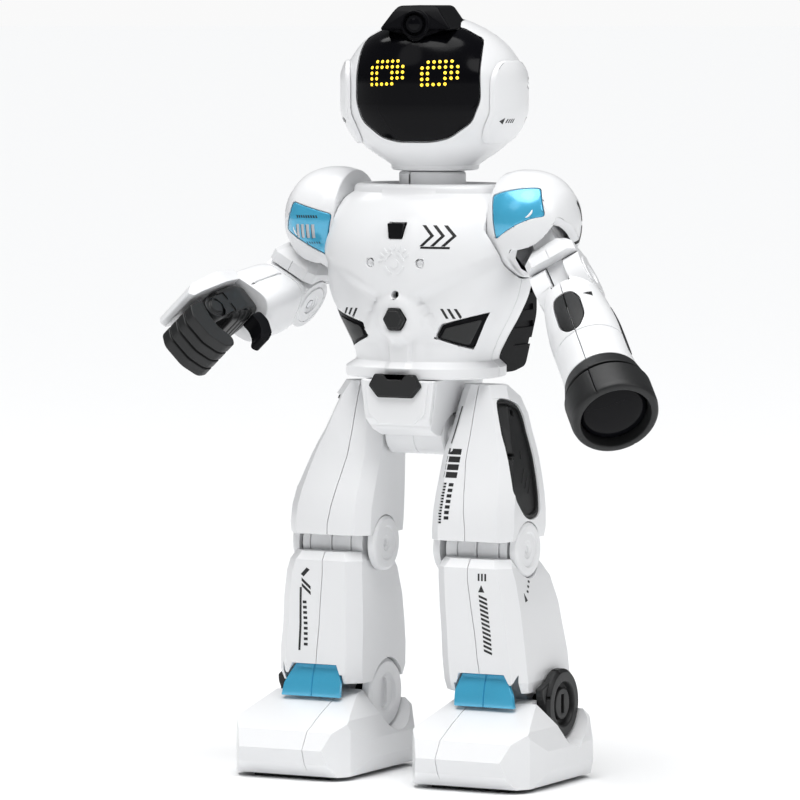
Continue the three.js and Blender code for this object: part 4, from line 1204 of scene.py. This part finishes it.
def thigh(side, place):
    """The thigh's two halves with the battery door, the knee and, on the left, prints."""
    outer = thigh_form()
    door = soft(BATTERY_DOOR, 3.5)
    seat = cut(prism(grown(door, 0.7), "x", 40, 80), thigh_form(2.6))
    edge_tools = [
        prism([(0, 108), (0, 116.5), (20.5, 112)], "y", -FAR, FAR),
        prism([(80, 108), (80, 118), (53, 112.5)], "y", -FAR, FAR),
        prism([(-60, 108), (-60, 119), (-33, 112)], "x", -FAR, FAR),
    ]
    body = cut(
        outer,
        seat,
        knee_rod(KNEE["disc"] + 1.2, 20.5, 53.8, 48),
        knee_rod(KNEE["disc"] + 0.4, 0, 19.4, 64),
        knee_rod(KNEE["disc"] + 0.4, 54.6, 80, 64),
        rod("x", HIP["stub"] + 0.4, 0, 30, HIP["y"], HIP["z"]),
        *edge_tools,
    )
    inner, _ = leg_halves(f"{side}_thigh", body, THIGH_SEAM, place)
    battery_door(side, place, door)
    knee(side, place)
    if side == "left":
        stripe = [[(20.8, 157), (22, 157), (24.4, 174), (23.2, 174)]]
        print_on("thigh_stripe", stripe, [inner], place, "left_thigh_inner", "ink")
        bars = upright_bars(4, 24.4, 153.5, 7.4, 2.6, 3.5) + upright_bars(14, 22.6, 139, 1.8, 0.9, 1.35)
        bars += upright_bars(7, 26, 138.6, 2.4, 1.5, 2.5)
        print_on("thigh_bars", bars, [inner], place, "left_thigh_inner", "ink")


def battery_door(side, place, outline):
    """A dark cover let into the thigh, with a raised field, a screw hole, ribs and an arrow."""
    node = f"{side}_battery_door"
    layers = [thigh_form(inset) for inset in (0.9, 2.3, 0.25)]
    base = common(cut(layers[0], layers[1].copy()), prism(outline, "x", 40, 80))
    field = common(cut(layers[2], layers[1]), prism(grown(outline, -1.6), "x", 40, 80))
    hole = rod("x", 1.7, 40, 80, -7, 171, 20)
    latch = [(-34, 153), (-16.7, 153), (-16.7, 151.4), (-18.9, 151.4), (-18.9, 150), (-34, 150)]
    latch = prism(latch, "x", 40, 80)
    door = moulding(node, cut(join(base, field), hole, latch), place, "dark", bevel=0.35, angle=20)
    ribs = [
        [(y, z), (y + 1.2, z + 0.7), (y + 5.4, z + 6.6), (y + 4.2, z + 5.9)]
        for y, z in ((-15, 139), (-12.6, 136.5), (-10.2, 134))
    ]
    ribs.append([(-11.5, 150), (-8.5, 150), (-10, 153.5)])
    print_on(f"{side}_battery_door_ribs", ribs, [door], place, node, "dark", "x", 1, 0.35, 0.3)


def knee(side, place):
    """The knee's cross shaft, with a ringed disc at each end."""
    disc, shaft = KNEE["disc"], KNEE["shaft"]
    inner = [
        (17.1, 0), (17.1, 1.6), (16, 2), (16, 3.4), (15.5, 3.8), (15.5, 7.6), (14.8, 8.2), (14.8, 11.6),
        (15.8, disc), (19, disc), (19, shaft),
    ]
    outer = [
        (55, shaft), (55, disc), (58.1, disc), (59.2, 11.6), (59.2, 8.4), (58.2, 7.8), (58.2, 4.2),
        (57.8, 3.8), (57.8, 2), (56.8, 1.6), (56.8, 0),
    ]
    axle = turned(inner + outer, "x", 72)
    axle.transform(at(0, KNEE["y"], KNEE["z"]))
    moulding(f"{side}_knee_axle", axle, place, "white", bevel=0.3, angle=35)


def shield_outline():
    """The ankle cover from the front: its ends slope in towards its top."""
    x0, x1, bottom, top = SHIELD["from"], SHIELD["to"], SHIELD["bottom"], SHIELD["top"]
    return [(x0, bottom), (x1, bottom), (x1 - 1.2, bottom + 6), (x1 - 6, top), (x0 + 2.5, top), (x0, top - 8)]


def shin(side, place):
    """The shin's two halves, open round the ankle hubs and the blue cover's path."""
    outer = faceted(SHIN_SECTIONS, 6, 5, step=12)
    start, end = SHIELD["from"] - 0.6, SHIELD["to"] + 0.6
    sweep = cut(
        ankle_rod(SHIELD["radius"] + 0.5, start, end, 96),
        block(20, 70, -20, 60, 0, 80),
    )
    sweep = join(sweep, prism(grown(shield_outline(), 0.5), "y", -60, -20))
    hub_inner, hub_outer = ANKLE["inner"] + 5.35, ANKLE["outer"] - 5.35
    knee_barrel = knee_rod(12.2, 22, 53.4, 48)
    notches = [
        cut(block(x, x + 0.8, -60, 20, 90, 130), knee_rod(11.2, 20, 56, 48))
        for x in (27.5, 37.6, 49)
    ]
    barrel = cut(knee_barrel, *notches, block(20, 56, -60, 20, 80, 103))
    body = cut(
        join(outer, barrel),
        knee_rod(KNEE["disc"] + 0.4, 54.6, 80, 64),
        knee_rod(KNEE["disc"] + 0.4, 0, 19.6, 64),
        sweep,
        ankle_rod(ANKLE["hub"] + 0.5, 0, hub_inner, 64),
        ankle_rod(ANKLE["hub"] + 0.5, hub_outer, 80, 64),
        block(hub_inner, hub_outer, ANKLE["y"] - 16, ANKLE["y"] + 24, 30, 46),
    )
    lug = join(ankle_rod(9, 37, 56), block(37, 56, ANKLE["y"] - 9, ANKLE["y"] + 9, ANKLE["z"], 50))
    _, outside = leg_halves(f"{side}_shin", join(body, lug), SHIN_SEAM, place)
    ankle_hubs(side, place)
    ankle_fairing(side, place)
    shin_prints(side, place, outside)


def shin_prints(side, place, outside):
    """An arrow over hatching on the left shin; slanted strokes, a long line and bars on the right one."""
    node = f"{side}_shin_outer"
    if side == "left":
        arrow = [(43.4, 90), (46.6, 90), (45, 93.4)]
        marks = [arrow, *slanted_bars(3, 43.8, 97, 0.9, 3.4, 1.7, 0.0)]
        for k in range(13):
            z = 88 - 2.1 * k
            x = 43.6 + 0.16 * k
            marks.append([(x, z - 0.3), (x + 4.2, z - 1.9), (x + 4.2, z - 0.8), (x, z + 0.8)])
        print_on("shin_hatching", marks, [outside], place, node, "ink")
        flank = [[(-26, 85), (-23.4, 85.6), (-26.4, 89.4)]]
        flank += [
            [(y, z), (y + 1.6, z - 0.7), (y + 2.1, z + 0.3), (y + 0.5, z + 1)]
            for y, z in ((-23.4, 89.5), (-22.2, 91.7), (-21, 93.9), (-19.8, 96.1))
        ]
        print_on("shin_flank_marks", flank, [outside], place, node, "ink", "x", 1)
        return
    bars = [[(44.6, 96.4), (46.2, 97.4), (49.4, 94.2), (47.9, 93.1)]]
    bars += [[(44.4, z), (49, z + 4), (49, z + 2.4), (44.4, z - 1.6)] for z in (88.6, 86)]
    bars.append([(49, 88), (50.1, 88), (51.8, 58), (50.7, 58)])
    bars += upright_bars(9, 47.8, 81, 2.0, 1.3, 2.5)
    print_on("shin_bars", bars, [outside], place, node, "ink")


def ankle_hubs(side, place):
    """A round hub each side of the ankle: dark outside, with a deep ring round a slotted core."""
    hub, inner, outer = ANKLE["hub"], ANKLE["inner"], ANKLE["outer"]
    dark = turned([
        (outer - 5, 0), (outer - 5, hub), (outer - 1.4, hub), (outer, hub - 1.4), (outer, 10.8),
        (outer - 0.6, 10.2), (outer - 2.8, 9.8), (outer - 2.8, 7.6), (outer - 0.9, 7.2), (outer - 0.9, 0),
    ], "x", 80)
    tools = [block(60, 80, -1.4, 1.4, -4.4, 4.4)]
    for k in range(6):
        slot = block(outer - 4.2, 80, -0.8, 0.8, hub - 0.9, hub + 3)
        slot.transform(turn(60 * k + 15, "X"))
        tools.append(slot)
    dark = cut(dark, *tools)
    dark = join(dark, rod("x", 4, inner + 4, outer - 4.8))
    dark.transform(at(0, ANKLE["y"], ANKLE["z"]))
    moulding(f"{side}_ankle_axle", dark, place, "dark", bevel=0.35, angle=35)
    pale = turned([
        (inner + 5, 0), (inner + 5, hub), (inner + 1.4, hub), (inner, hub - 1.4),
        (inner, 9.4), (inner + 0.5, 8.9), (inner + 1.6, 8.4), (inner + 1.6, 0),
    ], "x", 80)
    pale = cut(pale, prism(soft([(-3, -7), (3, -7), (3, 7), (-3, 7)], 3, 6), "x", 10, inner + 3.2))
    pale.transform(at(0, ANKLE["y"], ANKLE["z"]))
    shaped(f"{side}_ankle_inner_disc", pale, place, f"{side}_shin", "white", bevel=0.4, angle=35)


def ankle_fairing(side, place):
    """A dark pointed plate in front of the outer ankle hub, in the notch of the foot."""
    outline = soft([(-24.5, 44.5), (-24, 41), (-12, 24), (-4, 21), (-4, 50), (-14, 48)], 1)
    plate = prism(outline, "x", ANKLE["outer"] - 5.2, ANKLE["outer"] - 1.6)
    hub_room = ankle_rod(ANKLE["hub"] + 0.2, 0, 90, 64)
    shaped(f"{side}_ankle_fairing", cut(plate, hub_room), place, f"{side}_shin", "dark", bevel=0.5, angle=30)


# The notch in the foot round the outer hub, from the side.
ANKLE_NOTCH = [(-33, 43), (-29.5, 41), (-15, 19), (-4, 16), (10, 30), (-10, 44)]


def foot(side, place):
    """The foot shell, cut from its three views, with the cover, the sole and the wheels."""
    x0, x1 = FOOT["x"] - FOOT["width"] / 2, FOOT["x"] + FOOT["width"] / 2
    side_view = [
        (-58, 2), (15, 2), (17, 7), (17, 22), (15, 28), (12, 33), (8, 37), (-16, 40), (-28, 38), (-48, 29.5),
        (-60.5, 23), (-65.6, 15), (-63, 8),
    ]
    plan = [
        (x0 + 7, 17), (x0, 9), (x0, -34), (x0 + 2.5, -52), (x0 + 11, -65.6), (x1 - 12, -65.6), (x1 - 3, -52),
        (x1, -34), (x1, 9), (x1 - 7, 17),
    ]
    front_view = [
        (x0 + 3, 2), (x1 - 3, 2), (x1, 9), (x1 - 0.6, 18), (x1 - 4, 28), (x1 - 12, 38.6), (x1 - 15, 40),
        (x0 + 15, 40), (x0 + 12, 38.6), (x0 + 4, 28), (x0 + 0.6, 18), (x0, 9),
    ]
    outer = common(prism(side_view, "x", x0, x1), prism(plan, "z", 0, 50), prism(front_view, "y", -70, 40))
    inside = block(x0 + 6, x1 - 6, -54, 12.6, 0, 4.9)
    well = [
        ankle_rod(ANKLE["hub"] + 0.6, ANKLE["inner"] - 0.6, ANKLE["outer"] + 30, 64),
        ankle_rod(ANKLE["hub"] + 0.6, 0, ANKLE["inner"] + 0.6, 64),
        block(ANKLE["inner"] - 0.6, ANKLE["outer"] + 0.6, ANKLE["y"] - 17, ANKLE["y"] + 17, ANKLE["z"], 60),
        block(ANKLE["inner"] - 3, ANKLE["outer"] - 3, -21, 30, 33.5, 60),
        prism(ANKLE_NOTCH, "x", ANKLE["outer"] - 6, 90),
        block(FOOT["x"] - 22, FOOT["x"] + 22, ANKLE["y"] - 9.5, ANKLE["y"] + 9.5, 0, 17),
    ]
    seam = cut(
        block(FOOT["x"] - 12.2, FOOT["x"] - 11.8, -70, -20, 0, 45),
        block(FOOT["x"] - 13, FOOT["x"] - 11, -200, -19, -100, 1),
    )
    core = [(-57, 0), (15, 0), (16, 20), (-16, 39.3), (-28, 37.2), (-59.8, 22.5), (-64.8, 15), (-62.3, 8)]
    core = prism(core, "x", 0, 90)
    seam = cut(seam, core)
    shell = cut(outer, inside, *well, seam)
    moulding(f"{side}_foot_shell", shell, place, "white", bevel=1.1, angle=12, segments=3, clamp=True)
    ankle_cover(side, place)
    sole(side, place, x0, x1)
    wheels(side, place)


def ankle_cover(side, place):
    """The blue shield over the ankle: a curved band whose ends slope in towards its top."""
    band = cut(
        ankle_rod(SHIELD["radius"], SHIELD["from"], SHIELD["to"], 120),
        ankle_rod(SHIELD["radius"] - SHIELD["wall"], 20, 70, 120),
    )
    seam = cut(
        block(44.8, 45.2, -60, -20, 30, 60),
        ankle_rod(SHIELD["radius"] - 0.5, 20, 70, 120),
    )
    cover = cut(common(band, prism(shield_outline(), "y", -40, -20)), seam)
    moulding(f"{side}_ankle_cover", cover, place, "blue", bevel=0.4, angle=30)


def sole(side, place, x0, x1):
    """The plate under a foot, with wheel slots, screw holes and two grooved pads."""
    plate = block(x0 + 9, x1 - 9, -54, 12.5, 2.3, 4.8)
    tools = []
    for end in (-1, 1):
        centre = FOOT["x"] + end * FOOT["wheel_gap"]
        tools.append(block(centre - 4.4, centre + 4.4, ANKLE["y"] - 9, ANKLE["y"] + 9, 0, 10))
        for y in (-34, -20):
            tools.append(rod("z", 1.8, 0, 3.4, FOOT["x"] + end * 19, y, 20))
    pads = [block(FOOT["x"] - 20, FOOT["x"] + 20, y0, y1, 0, 3.3) for y0, y1 in ((-53, -41), (5.5, 12))]
    for y in (-51, -48, -45, -42.5, 7.5, 10):
        tools.append(block(FOOT["x"] - 18, FOOT["x"] + 18, y - 0.5, y + 0.5, -1, 0.6))
    moulding(f"{side}_foot_sole", cut(join(plate, *pads), *tools), place, "dark", bevel=0.3)


def wheels(side, place):
    """Two small rubber wheels with treads on one axle."""
    parts = [rod("x", 2, FOOT["x"] - 20, FOOT["x"] + 20, steps=24)]
    radius = FOOT["wheel"]
    edge = [(3.5, 0), (3.5, 5), (3.1, 5.6), (3.5, 6.4), (3, radius)]
    for end in (-1, 1):
        centre = FOOT["x"] + end * FOOT["wheel_gap"]
        tyre = [(centre - reach, r) for reach, r in edge]
        tyre += [(centre + reach, r) for reach, r in reversed(edge)]
        tyre = turned(tyre, "x", 72)
        treads = []
        for k in range(24):
            tread = block(centre - 5, centre + 5, -0.3, 0.3, radius - 0.5, radius + 2)
            tread.transform(turn(15 * k + 7.5, "X"))
            treads.append(tread)
        parts.append(cut(tyre, *treads))
    whole = join(*parts)
    whole.transform(at(0, ANKLE["y"], FOOT["wheel"]))
    moulding(f"{side}_drive_wheels", whole, place, "rubber", bevel=0.15, angle=40)


def leg(side):
    place = ROBOT if side == "left" else ROBOT @ MIRROR
    thigh(side, place)
    shin(side, place)
    foot(side, place)


def kept_nodes():
    """Some inner parts keep their CAD shapes and take finished materials."""
    for node, look in (("main_board", "board"), ("left_elbow_pin", "steel"), ("right_elbow_pin", "steel")):
        material, slot = LOOKS[look]
        kept = frame["nodes"][node]
        kept.data.materials.clear()
        kept.data.materials.append(material)


# ---- Stage ----
CAMERA = {"target": (-13.6, -6.9, 175), "azimuth": 27.3, "elevation": 4.2, "distance": 2844, "lens": 272.6}
LIGHTS = [  # name, azimuth, elevation, distance, size, power
    ("key", 82, 34, 1800, 800, 5),
    ("front", -14, 42, 1900, 700, 1.4),
    ("top", 20, 66, 1700, 700, 2.5),
    ("side", -100, 55, 1700, 500, 3),
]
SKY = {"sun": 3.3, "place": (10, 78, 1500), "spread": 60, "ambient": 0.1, "backdrop": 0.95}


def around(target, azimuth, elevation, distance):
    """A place looking at a target; azimuth 0 looks along +Y."""
    a, e = math.radians(azimuth), math.radians(elevation)
    back = Vector((math.sin(a) * math.cos(e), -math.cos(a) * math.cos(e), math.sin(e)))
    spot = ROBOT @ (Vector(target) + back * distance)
    look = (-back).to_track_quat("-Z", "Y").to_matrix().to_4x4()
    return Matrix.Translation(spot) @ look


def camera():
    data = bpy.data.cameras.new("camera")
    data.lens = CAMERA["lens"]
    data.sensor_width = 36
    viewer = linked("camera", data)
    viewer.matrix_world = around(*(CAMERA[k] for k in ("target", "azimuth", "elevation", "distance")))
    bpy.context.scene.camera = viewer


def lights():
    for name, azimuth, elevation, distance, size, power in LIGHTS:
        data = bpy.data.lights.new(name, "AREA")
        data.shape = "DISK"
        data.size = size * MM
        data.energy = power
        lamp = linked(name, data)
        lamp.matrix_world = around(CAMERA["target"], azimuth, elevation, distance)
    sun = bpy.data.lights.new("ceiling", "SUN")
    sun.energy = SKY["sun"]
    sun.angle = math.radians(SKY["spread"])
    ceiling = linked("ceiling", sun)
    ceiling.matrix_world = around(CAMERA["target"], *SKY["place"])
    studio()


def studio():
    """A pale room: a bright backdrop that lights the robot only softly."""
    world = bpy.data.worlds.new("studio")
    world.use_nodes = True
    nodes, links = world.node_tree.nodes, world.node_tree.links
    soft_light = nodes["Background"]
    soft_light.inputs["Color"].default_value = (0.96, 0.98, 1, 1)
    soft_light.inputs["Strength"].default_value = SKY["ambient"]
    backdrop = nodes.new("ShaderNodeBackground")
    backdrop.inputs["Color"].default_value = (1, 1, 1, 1)
    backdrop.inputs["Strength"].default_value = SKY["backdrop"]
    seen = nodes.new("ShaderNodeLightPath")
    mix = nodes.new("ShaderNodeMixShader")
    links.new(seen.outputs["Is Camera Ray"], mix.inputs["Fac"])
    links.new(soft_light.outputs["Background"], mix.inputs[1])
    links.new(backdrop.outputs["Background"], mix.inputs[2])
    links.new(mix.outputs["Shader"], nodes["World Output"].inputs["Surface"])
    bpy.context.scene.world = world
    bpy.context.scene.view_settings.view_transform = "Standard"


def floor():
    mesh = solid([(*p, z) for z in (-0.02, 0) for p in circle(30, 0, 0, 96)], [range(96), range(96, 192)])
    disc = linked("floor", mesh)
    mesh.materials.append(moulded("floor_paint", (0.96, 0.965, 0.97), 0.6, 0.005, 0.01, 300))


def robot():
    head()
    torso()
    pelvis()
    backpack()
    for side in ("left", "right"):
        arm(side)
        leg(side)
    kept_nodes()


camera()
lights()
floor()
robot()
